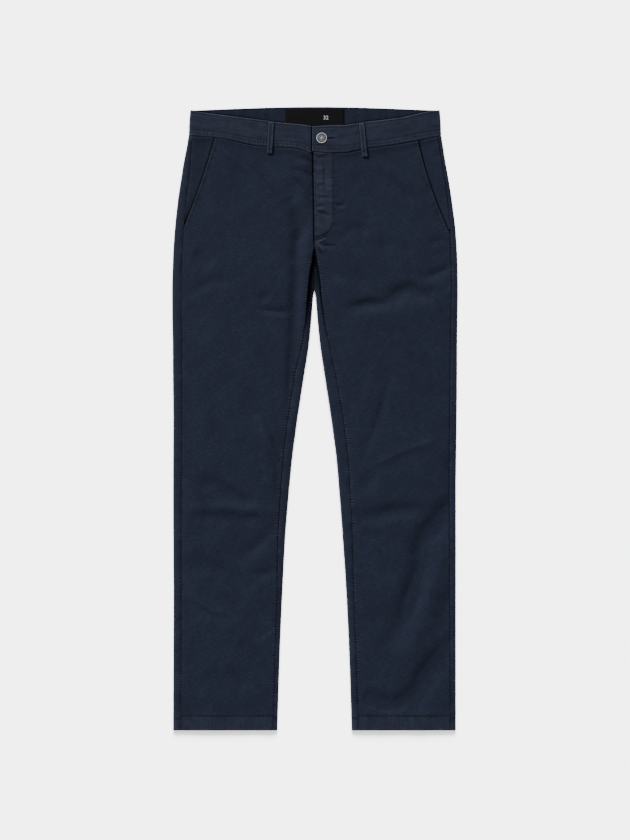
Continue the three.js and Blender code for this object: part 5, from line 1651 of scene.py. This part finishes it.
@dataclass
class WaistButton:
    """The waist button: a dished disc whose rim carries a painted highlight, sewn on through four holes."""

    x: float = 11.0
    y: float = 465.7
    radius: float = 9.0
    height: float = 2.7
    dish_depth: float = 0.6
    hole_radius: float = 0.9
    hole_at: float = 1.7
    segments: int = 56

    @property
    def base_z(self) -> float:
        """The height of the button's underside."""
        return float(band_z(self.x)) + SIZE.gap + 0.15

    def build(self) -> bpy.types.Object:
        """Makes the disc from a cylinder, with its rim, dish and holes."""
        bpy.ops.object.select_all(action="DESELECT")
        centre = (self.x * MM, self.y * MM, (self.base_z + self.height / 2) * MM)
        bpy.ops.mesh.primitive_cylinder_add(
            vertices=self.segments, radius=self.radius * 0.8 * MM, depth=self.height * MM, location=centre
        )
        disc = bpy.context.object
        disc.name = "button"
        top_z = self.height / 2 * MM
        self.select_caps(disc, lambda z: z < 0)
        bpy.ops.transform.resize(value=(0.96, 0.96, 1.0))
        self.side_ring(disc, 1.0)
        self.select_caps(disc, lambda z: z > 0)
        bpy.ops.transform.resize(value=(1.16, 1.16, 1.0))
        for inset, drop in ((0.75, 0.0), (0.5, -0.1), (0.35, -0.5), (0.45, -0.1), (0.5, 0.15), (1.8, -0.05)):
            bpy.ops.mesh.inset(thickness=inset * MM, depth=0)
            bpy.ops.transform.translate(value=(0, 0, drop * MM))
        bpy.ops.object.mode_set(mode="OBJECT")
        self.drill(disc, top_z)
        bpy.ops.object.select_all(action="DESELECT")
        disc.select_set(True)
        bpy.context.view_layer.objects.active = disc
        bevel = disc.modifiers.new("soft edges", "BEVEL")
        bevel.width = 0.22 * MM
        bevel.segments = 3
        bevel.limit_method = "ANGLE"
        bevel.angle_limit = math.radians(28)
        bpy.ops.object.modifier_apply(modifier=bevel.name)
        bpy.ops.object.transform_apply(location=True, rotation=True, scale=True)
        bpy.ops.object.shade_smooth_by_angle(angle=math.radians(50))
        return disc

    def select_caps(self, disc: bpy.types.Object, wanted: Callable[[float], bool]) -> None:
        """Enters edit mode with only the flat end that is wanted selected."""
        bpy.context.view_layer.objects.active = disc
        bpy.ops.object.mode_set(mode="EDIT")
        bpy.ops.mesh.select_mode(type="FACE")
        bpy.ops.mesh.select_all(action="DESELECT")
        bpy.ops.object.mode_set(mode="OBJECT")
        for face in disc.data.polygons:
            face.select = abs(face.normal.z) > 0.9 and wanted(face.center.z)
        bpy.ops.object.mode_set(mode="EDIT")

    def side_ring(self, disc: bpy.types.Object, at: float) -> None:
        """Cuts a ring round the disc's side and swells it, so that the side is round."""
        bpy.ops.mesh.select_all(action="SELECT")
        centre_z = (self.base_z + self.height * 0.45 * at) * MM
        bpy.ops.mesh.bisect(plane_co=(0, 0, centre_z), plane_no=(0, 0, 1))
        bpy.ops.object.mode_set(mode="OBJECT")
        level = centre_z - disc.location.z
        for edge in disc.data.edges:
            ends = [disc.data.vertices[k].co.z for k in edge.vertices]
            edge.select = all(abs(z - level) < 1e-6 for z in ends)
        bpy.ops.object.mode_set(mode="EDIT")
        bpy.ops.mesh.select_mode(type="EDGE")
        bpy.ops.transform.resize(value=(1.22, 1.22, 1.0))
        bpy.ops.object.mode_set(mode="OBJECT")

    def drill(self, disc: bpy.types.Object, top_z: float) -> None:
        """Cuts the four thread holes through the disc."""
        for dx in (-self.hole_at, self.hole_at):
            for dy in (-self.hole_at, self.hole_at):
                bpy.ops.object.select_all(action="DESELECT")
                place = (disc.location.x + dx * MM, disc.location.y + dy * MM, disc.location.z)
                bpy.ops.mesh.primitive_cylinder_add(
                    vertices=20, radius=self.hole_radius * MM, depth=6 * top_z, location=place
                )
                cutter = bpy.context.object
                cut = disc.modifiers.new("hole", "BOOLEAN")
                cut.object = cutter
                cut.operation = "DIFFERENCE"
                cut.solver = "EXACT"
                bpy.ops.object.select_all(action="DESELECT")
                disc.select_set(True)
                bpy.context.view_layer.objects.active = disc
                bpy.ops.object.modifier_apply(modifier=cut.name)
                bpy.data.objects.remove(cutter, do_unlink=True)

    def thread(self) -> list[tuple[Vector, Vector]]:
        """The thread's bars over the disc, as pairs of ends in millimetres."""
        z = self.base_z + self.height - self.dish_depth + 0.2
        centre = Vector((self.x, self.y, z))
        bars = []
        for turn in (-1, 1):
            for shift in (-0.4, 0.0, 0.4):
                reach = Vector((self.hole_at, turn * self.hole_at, 0)) * 1.1
                aside = Vector((shift, -turn * shift, 0.06 * turn))
                bars.append((centre + aside - reach, centre + aside + reach))
        return bars


# Thread


@dataclass
class Stitching:
    """Many short stitches, joined as one mesh."""

    name: str
    pitch: float = 3.2
    length: float = 2.4
    radius: float = 0.26
    spans: list[tuple[Vector, Vector]] = field(default_factory=list)

    def run(self, path: Path, surface: Callable[[Array, Array], Array], sign: int = 1, sink: float = 0.05) -> None:
        """Adds a row of stitches along a path on the cloth.

        Args:
            path: the row's path, in u and y.
            surface: gives the cloth's height at u and y.
            sign: the sign of X on this half.
            sink: how far the thread is drawn into the cloth.
        """
        count = max(int(path.length / self.pitch), 1)
        starts = (np.arange(count) + 0.5) * path.length / count
        ends = [path.at(starts + side * self.length / 2) for side in (-1, 1)]
        heights = [surface(points[:, 0], points[:, 1]) + self.radius - sink for points in ends]
        for (ax, ay), (bx, by), az, bz in zip(*ends, *heights):
            self.spans.append((Vector((sign * ax, ay, az)), Vector((sign * bx, by, bz))))

    def tack(self, a: Vector, b: Vector, width: float, count: int) -> None:
        """Adds a bar of dense zigzag stitches from a to b."""
        along = (b - a) / count
        across = Vector((-along.y, along.x, 0)).normalized() * width / 2
        for k in range(count):
            middle = a + along * (k + 0.5)
            lean = along * 0.35
            self.spans.append((middle - across - lean, middle + across + lean))

    def build(self) -> bpy.types.Object:
        """Makes the joined mesh: each stitch is a short rod that dips at its ends."""
        sides, rings = 5, ((0.0, 0.45, -0.22), (0.22, 1.0, 0.06), (0.78, 1.0, 0.06), (1.0, 0.45, -0.22))
        starts = np.array([tuple(a) for a, _ in self.spans])
        ends = np.array([tuple(b) for _, b in self.spans])
        along = ends - starts
        across = np.stack([-along[:, 1], along[:, 0], np.zeros(len(along))], axis=-1)
        across /= np.linalg.norm(across, axis=1, keepdims=True)
        lift = np.cross(along / np.linalg.norm(along, axis=1, keepdims=True), across)
        lift *= np.sign(lift[:, 2:3])
        rows = []
        for t, grow, rise in rings:
            for k in range(sides):
                a = 2 * math.pi * k / sides
                ring = math.cos(a) * across + math.sin(a) * lift
                rows.append(starts + t * along + self.radius * grow * ring + rise * lift)
        points = np.stack(rows, axis=1).reshape(-1, 3) * MM
        pattern = []
        for r in range(len(rings) - 1):
            for k in range(sides):
                n = (k + 1) % sides
                pattern.append((r * sides + k, r * sides + n, (r + 1) * sides + n, (r + 1) * sides + k))
        caps = [tuple(range(sides))[::-1], tuple(range((len(rings) - 1) * sides, len(rings) * sides))]
        size = sides * len(rings)
        faces = [tuple(p + size * i for p in face) for i in range(len(self.spans)) for face in (*pattern, *caps)]
        mesh = bpy.data.meshes.new(self.name)
        mesh.from_pydata(points.tolist(), [], faces, shade_flat=False)
        piece = bpy.data.objects.new(self.name, mesh)
        bpy.context.scene.collection.objects.link(piece)
        bpy.ops.object.select_all(action="DESELECT")
        piece.select_set(True)
        bpy.context.view_layer.objects.active = piece
        bpy.ops.object.mode_set(mode="EDIT")
        bpy.ops.mesh.select_all(action="SELECT")
        bpy.ops.mesh.normals_make_consistent(inside=False)
        bpy.ops.object.mode_set(mode="OBJECT")
        return piece


# Shading


class Value:
    """A number socket in a material, so that shader maths reads as plain expressions."""

    def __init__(self, maker: Nodes, socket: bpy.types.NodeSocket) -> None:
        """Wraps a socket of maker's material."""
        self.maker = maker
        self.socket = socket

    def _math(self, operation: str, *others: Union[Value, float]) -> Value:
        """A Math node on this value and the others."""
        values = [self.socket, *(o.socket if isinstance(o, Value) else float(o) for o in others)]
        node = self.maker.node("ShaderNodeMath", {"operation": operation}, dict(enumerate(values)))
        return Value(self.maker, node.outputs[0])

    def __add__(self, other: Union[Value, float]) -> Value:
        """Sum."""
        return self._math("ADD", other)

    __radd__ = __add__

    def __mul__(self, other: Union[Value, float]) -> Value:
        """Product."""
        return self._math("MULTIPLY", other)

    __rmul__ = __mul__

    def __sub__(self, other: Union[Value, float]) -> Value:
        """Difference."""
        return self._math("SUBTRACT", other)

    def __rsub__(self, other: float) -> Value:
        """Difference, from a plain number."""
        return self * -1.0 + other

    def sine(self) -> Value:
        """Sine."""
        return self._math("SINE")

    def clamped(self) -> Value:
        """The value held between 0 and 1."""
        return self._math("MINIMUM", 1.0)._math("MAXIMUM", 0.0)

    def smooth(self, low: float, high: float) -> Value:
        """A soft step from 0 at low to 1 at high."""
        node = self.maker.node(
            "ShaderNodeMapRange",
            {"interpolation_type": "SMOOTHSTEP"},
            {"Value": self.socket, "From Min": low, "From Max": high},
        )
        return Value(self.maker, node.outputs["Result"])


@dataclass
class Nodes:
    """Makes the nodes of one material."""

    name: str
    material: bpy.types.Material = field(init=False)

    def __post_init__(self) -> None:
        """Starts an empty material."""
        self.material = bpy.data.materials.new(self.name)
        self.material.use_nodes = True
        self.tree = self.material.node_tree
        self.tree.nodes.clear()

    def node(self, kind: str, settings: dict, inputs: dict) -> bpy.types.Node:
        """Adds a node.

        Args:
            kind: the node's type.
            settings: its own settings, set first; stops gives a colour ramp's stops.
            inputs: each socket's name or number, with a socket to link or a value to set.

        Returns:
            The node.
        """
        node = self.tree.nodes.new(kind)
        for key, value in settings.items():
            if key == "stops":
                elements = node.color_ramp.elements
                while len(elements) < len(value):
                    elements.new(0.5)
                for element, (position, colour) in zip(elements, value):
                    element.position = position
                    element.color = (*colour, 1.0)
            else:
                setattr(node, key, value)
        for key, value in inputs.items():
            if isinstance(value, Value):
                value = value.socket
            if isinstance(value, bpy.types.NodeSocket):
                self.tree.links.new(value, node.inputs[key])
            else:
                node.inputs[key].default_value = value
        return node

    def noise(self, where: bpy.types.NodeSocket, scale: float, detail: float = 3.0, rough: float = 0.5) -> Value:
        """Soft noise from 0 to 1, of scale waves to a metre."""
        inputs = {"Vector": where, "Scale": scale, "Detail": detail, "Roughness": rough}
        return Value(self, self.node("ShaderNodeTexNoise", {}, inputs).outputs["Fac"])

    def attribute(self, name: str) -> Value:
        """A number that the mesh carries."""
        node = self.node("ShaderNodeAttribute", {"attribute_name": name}, {})
        return Value(self, node.outputs["Fac"])

    def mix(self, share: Value, a: object, b: object) -> bpy.types.NodeSocket:
        """The colour a share of the way from a to b."""
        node = self.node("ShaderNodeMix", {"data_type": "RGBA"}, {0: share, 6: a, 7: b})
        return node.outputs[2]

    def finish(self, shader: bpy.types.Node) -> bpy.types.Material:
        """Joins the shader to the material's output."""
        self.node("ShaderNodeOutputMaterial", {}, {"Surface": shader.outputs[0]})
        return self.material


Colour = tuple[float, float, float]


def opaque(colour: Colour) -> tuple[float, float, float, float]:
    """The colour with full alpha."""
    return (*colour, 1.0)


@dataclass(frozen=True)
class TwillFinish:
    """Garment-washed cotton twill: fine slanting ribs, mottled dye, paler worn edges with painted highlights, and
    painted shade in creases and gaps.
    """

    name: str = "navy twill"
    dark: Colour = (0.0064, 0.0096, 0.0228)
    light: Colour = (0.0158, 0.0212, 0.0455)
    # the pale colour of wear and of painted highlights
    worn_and_highlight: Colour = (0.040, 0.046, 0.073)
    # the near-black of the matte shader that paints shade into creases, gaps and seams
    painted_deep_shade: Colour = (0.0009, 0.0012, 0.0026)
    roughness: float = 0.86
    sheen: float = 0.07
    ribs_per_metre: float = 1150.0
    stitch_pitch: float = 4.4

    def make(self) -> bpy.types.Material:
        """Makes the material."""
        nodes = Nodes(self.name)
        place = nodes.node("ShaderNodeTexCoord", {}, {}).outputs["Object"]
        cloth = nodes.node("ShaderNodeUVMap", {"uv_map": "cloth"}, {}).outputs["UV"]
        wear, recess = nodes.attribute("wear"), nodes.attribute("recess")
        where = nodes.node("ShaderNodeSeparateXYZ", {}, {"Vector": place})
        wander = nodes.noise(place, 120, 3, 0.6) * 13.0
        # Painted stitch ticks: a wave at each stitch, whose light half paints highlight and dark half paints shade
        painted_light_marks = nodes.attribute("rungs") * self.stitch_wave(nodes, where.outputs[1], wander)
        painted_light_marks = painted_light_marks + nodes.attribute("ropes") * self.stitch_wave(nodes, where.outputs[0], wander)
        painted_light_marks = painted_light_marks * (nodes.noise(place, 48, 2, 0.5).smooth(0.35, 0.65) * 0.8 + 0.12)
        split = nodes.node("ShaderNodeSeparateXYZ", {}, {"Vector": cloth})
        across, up = Value(nodes, split.outputs[0]), Value(nodes, split.outputs[1])
        broad = nodes.noise(place, 24, 4, 0.6)
        patches = nodes.noise(place, 95, 5, 0.65)
        grain = nodes.noise(cloth, 270, 4, 0.7)
        strand = nodes.node(
            "ShaderNodeCombineXYZ", {}, {"X": across * 0.3 + up * 0.06, "Y": up * 1.6 - across * 0.2}
        ).outputs[0]
        streaks = nodes.noise(strand, 430, 3, 0.6)
        slubs = nodes.noise(cloth, 640, 3, 0.6)
        fuzz = nodes.noise(cloth, 2300, 2, 0.6)
        ribs = ((across * 0.94 + up * 0.62) * (self.ribs_per_metre * math.tau) + slubs * 2.0).sine()
        tone = broad * 0.3 + patches * 0.32 + grain * 0.3 + streaks * 1.05 + slubs * 0.25 + fuzz * 0.2
        tone = tone + ribs * 0.03
        colour = nodes.mix(tone.smooth(0.88, 1.54), opaque(self.dark), opaque(self.light))
        # Pale: wear and painted highlight from the attribute and from the ticks' light half
        rubbed_and_highlit = wear * (patches * 0.7 + slubs * 0.7).smooth(0.3, 1.0) + painted_light_marks.smooth(0.0, 0.9) * 0.52
        colour = nodes.mix(rubbed_and_highlit, colour, opaque(self.worn_and_highlight))
        height = ribs * 0.25 + slubs * 0.8 + fuzz * 0.5 + patches * 0.9 + grain * 0.8 + streaks * 1.3
        bump = nodes.node(
            "ShaderNodeBump", {}, {"Height": height, "Strength": 0.5, "Distance": 0.0005}
        )
        rough = patches * 0.08 + (self.roughness - 0.04)
        shader = nodes.node(
            "ShaderNodeBsdfPrincipled",
            {},
            {
                "Base Color": colour,
                "Roughness": rough,
                "Normal": bump.outputs["Normal"],
                "Specular IOR Level": 0.22,
                "Sheen Weight": self.sheen,
                "Sheen Roughness": 0.45,
            },
        )
        # A near-black matte shader for painted shade
        shade = nodes.node(
            "ShaderNodeBsdfPrincipled",
            {},
            {"Base Color": opaque(self.painted_deep_shade), "Roughness": 1.0, "Specular IOR Level": 0.02},
        )
        # Painted shade: the shade attribute and the ticks' dark half mix in the near-black matte shader
        hollow = (recess + (painted_light_marks * -1.0).smooth(0.0, 0.9) * 0.42).clamped() * 0.97
        both = nodes.node("ShaderNodeMixShader", {}, {0: hollow, 1: shader.outputs[0], 2: shade.outputs[0]})
        return nodes.finish(both)

    def stitch_wave(self, nodes: Nodes, along: bpy.types.NodeSocket, wander: Value) -> Value:
        """One wave from -1 to 1 for each stitch along a line."""
        return (Value(nodes, along) * (math.tau / (self.stitch_pitch * MM)) + wander).sine()


@dataclass(frozen=True)
class LabelFinish:
    """Smooth black woven tape with a fine cross rib."""

    name: str = "black woven tape"
    dark: Colour = (0.0018, 0.0019, 0.0026)
    light: Colour = (0.0048, 0.005, 0.0062)
    roughness: float = 0.6

    def make(self) -> bpy.types.Material:
        """Makes the material."""
        nodes = Nodes(self.name)
        cloth = nodes.node("ShaderNodeUVMap", {"uv_map": "cloth"}, {}).outputs["UV"]
        split = nodes.node("ShaderNodeSeparateXYZ", {}, {"Vector": cloth})
        ribs = (Value(nodes, split.outputs[1]) * (2200 * math.tau)).sine()
        threads = (Value(nodes, split.outputs[0]) * (1500 * math.tau)).sine()
        fuzz = nodes.noise(cloth, 700, 3)
        tone = ribs * 0.12 + threads * 0.1 + fuzz
        colour = nodes.mix(tone.smooth(0.2, 0.8), opaque(self.dark), opaque(self.light))
        bump = nodes.node(
            "ShaderNodeBump", {}, {"Height": ribs + threads + fuzz, "Strength": 0.3, "Distance": 0.0001}
        )
        shader = nodes.node(
            "ShaderNodeBsdfPrincipled",
            {},
            {
                "Base Color": colour,
                "Roughness": fuzz * 0.1 + self.roughness,
                "Normal": bump.outputs["Normal"],
                "Specular IOR Level": 0.12,
            },
        )
        return nodes.finish(shader)


@dataclass(frozen=True)
class ButtonFinish:
    """Satin grey horn-like plastic with a clouded dish; painted highlight makes its rim pale and painted shade darkens
    its groove.
    """

    centre: tuple[float, float]
    rim_from: float
    name: str = "grey button"
    # painted shade in the groove
    groove: Colour = (0.035, 0.038, 0.047)
    dish: Colour = (0.1, 0.105, 0.12)
    cloud: Colour = (0.19, 0.195, 0.21)
    # painted highlight on the rim
    rim_highlight: Colour = (0.74, 0.75, 0.78)
    roughness: float = 0.33

    def make(self) -> bpy.types.Material:
        """Makes the material."""
        nodes = Nodes(self.name)
        place = nodes.node("ShaderNodeTexCoord", {}, {}).outputs["Object"]
        flat = nodes.node(
            "ShaderNodeVectorMath",
            {"operation": "MULTIPLY"},
            {0: place, 1: (1.0, 1.0, 0.0)},
        ).outputs[0]
        off = nodes.node(
            "ShaderNodeVectorMath",
            {"operation": "DISTANCE"},
            {0: flat, 1: (self.centre[0] * MM, self.centre[1] * MM, 0.0)},
        )
        radius = Value(nodes, off.outputs["Value"]) * 1000.0
        clouds = nodes.noise(place, 330, 4, 0.6)
        colour = nodes.mix(clouds.smooth(0.35, 0.7), opaque(self.dish), opaque(self.cloud))
        # Painted shade in the groove and painted highlight on the rim
        in_groove = radius.smooth(self.rim_from - 2.4, self.rim_from - 1.4)
        colour = nodes.mix(in_groove, colour, opaque(self.groove))
        on_rim = radius.smooth(self.rim_from - 0.3, self.rim_from + 0.3)
        colour = nodes.mix(on_rim, colour, opaque(self.rim_highlight))
        scratches = nodes.noise(place, 2400, 2)
        bump = nodes.node(
            "ShaderNodeBump", {}, {"Height": scratches + clouds, "Strength": 0.15, "Distance": 0.0001}
        )
        shader = nodes.node(
            "ShaderNodeBsdfPrincipled",
            {},
            {
                "Base Color": colour,
                "Roughness": scratches * 0.12 + self.roughness,
                "Normal": bump.outputs["Normal"],
                "Specular IOR Level": 0.5,
            },
        )
        return nodes.finish(shader)


@dataclass(frozen=True)
class ThreadFinish:
    """Spun sewing thread with a fine twist."""

    name: str
    colour: Colour
    pale: Colour
    roughness: float = 0.7

    def make(self) -> bpy.types.Material:
        """Makes the material."""
        nodes = Nodes(self.name)
        place = nodes.node("ShaderNodeTexCoord", {}, {}).outputs["Object"]
        twist = nodes.noise(place, 1900, 3, 0.6)
        colour = nodes.mix(twist.smooth(0.3, 0.7), opaque(self.colour), opaque(self.pale))
        bump = nodes.node("ShaderNodeBump", {}, {"Height": twist, "Strength": 0.4, "Distance": 0.0002})
        shader = nodes.node(
            "ShaderNodeBsdfPrincipled",
            {},
            {
                "Base Color": colour,
                "Roughness": twist * 0.1 + self.roughness,
                "Normal": bump.outputs["Normal"],
                "Specular IOR Level": 0.3,
                "Sheen Weight": 0.1,
            },
        )
        return nodes.finish(shader)


@dataclass(frozen=True)
class FloorFinish:
    """A plain pale studio floor."""

    name: str = "pale floor"
    colour: Colour = (0.92, 0.92, 0.92)
    roughness: float = 0.9

    def make(self) -> bpy.types.Material:
        """Makes the material."""
        nodes = Nodes(self.name)
        inputs = {"Base Color": opaque(self.colour), "Roughness": self.roughness, "Specular IOR Level": 0.0}
        return nodes.finish(nodes.node("ShaderNodeBsdfPrincipled", {}, inputs))


# Studio


@dataclass
class Studio:
    """The floor, the lights and the camera, which looks straight down."""

    frame_height: float = 1.3944
    distance: float = 3.3
    centre_y: float = -0.0017
    key_from: tuple[float, float] = (-0.62, 0.78)
    key_elevation: float = 27.0
    key_strength: float = 5.0
    key_angle: float = 20.0
    floor_from: tuple[float, float] = (0.0, 1.0)
    floor_elevation: float = 24.0
    floor_strength: float = 30.0
    floor_angle: float = 26.0
    fill_strength: float = 4.85
    fill_angle: float = 120.0
    ambient: float = 0.3

    def build_camera(self) -> None:
        """Hangs the camera over the garment."""
        data = bpy.data.cameras.new("camera")
        data.sensor_width = 36.0
        data.lens = 36.0 * self.distance / self.frame_height
        data.clip_end = 50.0
        camera = bpy.data.objects.new("camera", data)
        camera.location = (0.0, self.centre_y, self.distance + 0.005)
        bpy.context.scene.collection.objects.link(camera)
        bpy.context.scene.camera = camera

    def build_floor(self) -> bpy.types.Object:
        """Lays the floor just under the garment."""
        bpy.ops.object.select_all(action="DESELECT")
        bpy.ops.mesh.primitive_plane_add(size=14.0, location=(0, 0, -0.0003))
        floor = bpy.context.object
        floor.name = "floor"
        floor.data.materials.append(FloorFinish().make())
        return floor

    def distant_light(
        self, name: str, come_from: tuple[float, float], elevation: float, strength: float, angle: float
    ) -> bpy.types.Object:
        """Sets a soft light that reaches the whole studio evenly.

        Args:
            name: the light's name.
            come_from: the way that it comes from, over the floor.
            elevation: how high it stands over the floor, in degrees.
            strength: its strength, in watts to a square metre.
            angle: how wide it looks from the floor, in degrees.

        Returns:
            The light.
        """
        data = bpy.data.lights.new(name, "SUN")
        data.energy = strength
        data.angle = math.radians(angle)
        light = bpy.data.objects.new(name, data)
        flat = math.hypot(*come_from)
        rise = flat * math.tan(math.radians(elevation))
        light.location = (2 * come_from[0], 2 * come_from[1], 2 * rise)
        light.rotation_euler = (-light.location).to_track_quat("-Z", "Y").to_euler()
        bpy.context.scene.collection.objects.link(light)
        return light

    def build_lights(self, floor: bpy.types.Object, button: bpy.types.Object) -> None:
        """Sets a low key light on the cloth, two lights on the floor alone, and even air light.

        Args:
            floor: the floor, which the key light leaves alone.
            button: the button, which stands in the key light but shades nothing from it.
        """
        key = self.distant_light("key", self.key_from, self.key_elevation, self.key_strength, self.key_angle)
        wash = self.distant_light(
            "floor wash", self.floor_from, self.floor_elevation, self.floor_strength, self.floor_angle
        )
        fill = self.distant_light("floor fill", (0.0, 0.2), 80.0, self.fill_strength, self.fill_angle)
        for light, reached in ((key, "EXCLUDE"), (wash, "INCLUDE"), (fill, "INCLUDE")):
            lit = bpy.data.collections.new(f"{light.name} reaches")
            lit.objects.link(floor)
            lit.collection_objects[0].light_linking.link_state = reached
            light.light_linking.receiver_collection = lit
        shading = bpy.data.collections.new("key is blocked by")
        shading.objects.link(button)
        shading.collection_objects[0].light_linking.link_state = "EXCLUDE"
        key.light_linking.blocker_collection = shading
        world = bpy.data.worlds.new("studio air")
        world.use_nodes = True
        world.node_tree.nodes["Background"].inputs[0].default_value = (1.0, 1.0, 1.0, 1.0)
        world.node_tree.nodes["Background"].inputs[1].default_value = self.ambient
        bpy.context.scene.world = world


# The garment


class Trousers:
    """The whole garment: builds each piece and gives it its finish."""

    def __init__(self) -> None:
        """Makes the finishes and the pieces that others are placed by."""
        self.twill = TwillFinish().make()
        self.thread = ThreadFinish("navy thread", (0.016, 0.021, 0.038), (0.036, 0.043, 0.066)).make()
        self.grey_thread = ThreadFinish("grey thread", (0.5, 0.5, 0.53), (0.8, 0.8, 0.84)).make()
        self.fronts = {half.wearer: FrontPanel(half) for half in HALVES}
        self.loops = (
            FrontLoop(LEFT, (77.5, 489.4), (82.7, 435)),
            FrontLoop(RIGHT, (72.2, 492.2), (75.4, 440)),
        )
        self.button = WaistButton()

    def build_panels(self) -> None:
        """Builds the back and front panels and the pocket facings."""
        for half in HALVES:
            back = BackPanel(half).build()
            dress(back, self.twill, [f"back_{half.side}"])
            laid(back, Cut(262, 993, 0.226))
            front = self.fronts[half.wearer].build()
            dress(front, self.twill, [f"front_{half.side}"])
            laid(front, Cut(240, 985, 0.181))
            facing = PocketFacing(half).build()
            dress(facing, self.twill, [f"pocket_facing_{half.side}"])
            laid(facing, Cut(62, 158, 0.0052))

    def band(self, half: Half) -> Waistband:
        """One half of the waistband, which darkens beside its front loop."""
        return Waistband(half, next(loop for loop in self.loops if loop.half is half))

    def build_waist(self) -> bpy.types.Object:
        """Builds the waistband, its belt loops, the label and the button."""
        for half in HALVES:
            band = self.band(half).build()
            dress(band, self.twill, [f"waistband_{half.side}"])
            laid(band, Cut(432, 44, 0.0182))
        for loop in self.loops:
            piece = loop.build()
            dress(piece, self.twill, [f"belt_loop_front_{loop.half.side}"])
            laid(piece, Cut(11, 57))
        for name, x in (("left", 118.0), ("centre", SIZE.centre_x), ("right", -118.0)):
            piece = BackLoop(f"back_loop_{name}", x).build()
            dress(piece, self.twill, [f"belt_loop_back_{name}"])
            laid(piece, Cut(10.7, 56))
        label = WaistLabel()
        tape = LabelFinish().make()
        piece = label.build()
        dress(piece, tape, ["waist_label"])
        laid(piece, Cut(98, 31))
        dress(label.build_number(), self.grey_thread)
        disc = self.button.build()
        finish = ButtonFinish((self.button.x, self.button.y), self.button.radius - 1.45)
        dress(disc, finish.make(), ["waist_button"])
        return disc

    def build_sewing(self) -> None:
        """Sews the visible rows of stitches and the bartacks."""
        panels = Stitching("panel_stitching")
        tacks = Stitching("bartacks", radius=0.2)
        for wearer, front in self.fronts.items():
            for seam in front.seams():
                if seam.stitched:
                    panels.run(seam.path, front.surface, wearer.value)
            half = front.half
            foot_y = half.pocket.foot_y + 4
            foot_u = float(half.pocket_edge(foot_y))
            for y, u in ((foot_y, foot_u), (half.pocket.top_y - 12, float(half.pocket_edge(half.pocket.top_y - 12)))):
                ends = []
                for du in (-7.0, -0.6):
                    height = float(front.surface(np.array([u + du]), np.array([y]))[0]) + 0.25
                    ends.append(Vector((half.sign * (u + du), y, height)))
                tacks.tack(ends[0], ends[1], 2.0, 13)
        fly = self.fronts[Wearer.LEFT]
        ends = []
        for x, y in ((1.2, 295.0), (4.6, 289.5)):
            ends.append(Vector((x, y, float(fly.surface(np.array([x]), np.array([y]))[0]) + 0.25)))
        tacks.tack(ends[0], ends[1], 2.4, 13)
        dress(panels.build(), self.thread)
        bands = Stitching("band_stitching")
        for half in HALVES:
            start = SIZE.band_end_x + 5 if half.wearer is Wearer.LEFT else 6.0
            u = np.arange(start, 206, 6.0)
            band = self.band(half)

            def height(at: Array, y: Array, band: Waistband = band) -> Array:
                """The band's outer face."""
                bottom, top = band.half.band_bottom(at), band.half.band_top(at)
                return band_z(at) + band.ridge((y - bottom) / (top - bottom), at)

            for depth in (6.2, 10.4, SIZE.band_depth - 3.0):
                share = depth / SIZE.band_depth
                row = lerp(half.band_bottom(u), half.band_top(u), share)
                bands.run(Path(np.stack([u, row], axis=-1), 1), height, half.sign)
        dress(bands.build(), self.thread)
        for loop in self.loops:
            self.sew_loop(loop, tacks)
        dress(tacks.build(), self.thread)
        button = Stitching("button_thread", radius=0.22)
        button.spans.extend(self.button.thread())
        dress(button.build(), self.grey_thread)

    def sew_loop(self, loop: FrontLoop, tacks: Stitching) -> None:
        """Tacks down both ends of a belt loop."""
        for end_y in (loop.top[1] - 2.8, loop.bottom[1] + 2.8):
            centre = float(loop.centre_u(end_y))
            ends = []
            for side in (-0.42, 0.42):
                u = centre + side * loop.width
                z = float(loop.under_z(np.array([u]), np.array([end_y]))[0]) + loop.cloth - 0.05
                ends.append(Vector((loop.half.sign * u, end_y, z)))
            tacks.tack(ends[0], ends[1], 1.8, 15)


def main() -> None:
    """Builds the studio and the garment in order."""
    logging.basicConfig(level=logging.INFO, format="%(name)s %(message)s")
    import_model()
    studio = Studio()
    studio.build_camera()
    trousers = Trousers()
    trousers.build_panels()
    button = trousers.build_waist()
    trousers.build_sewing()
    studio.build_lights(studio.build_floor(), button)


if __name__ == "__main__":
    main()
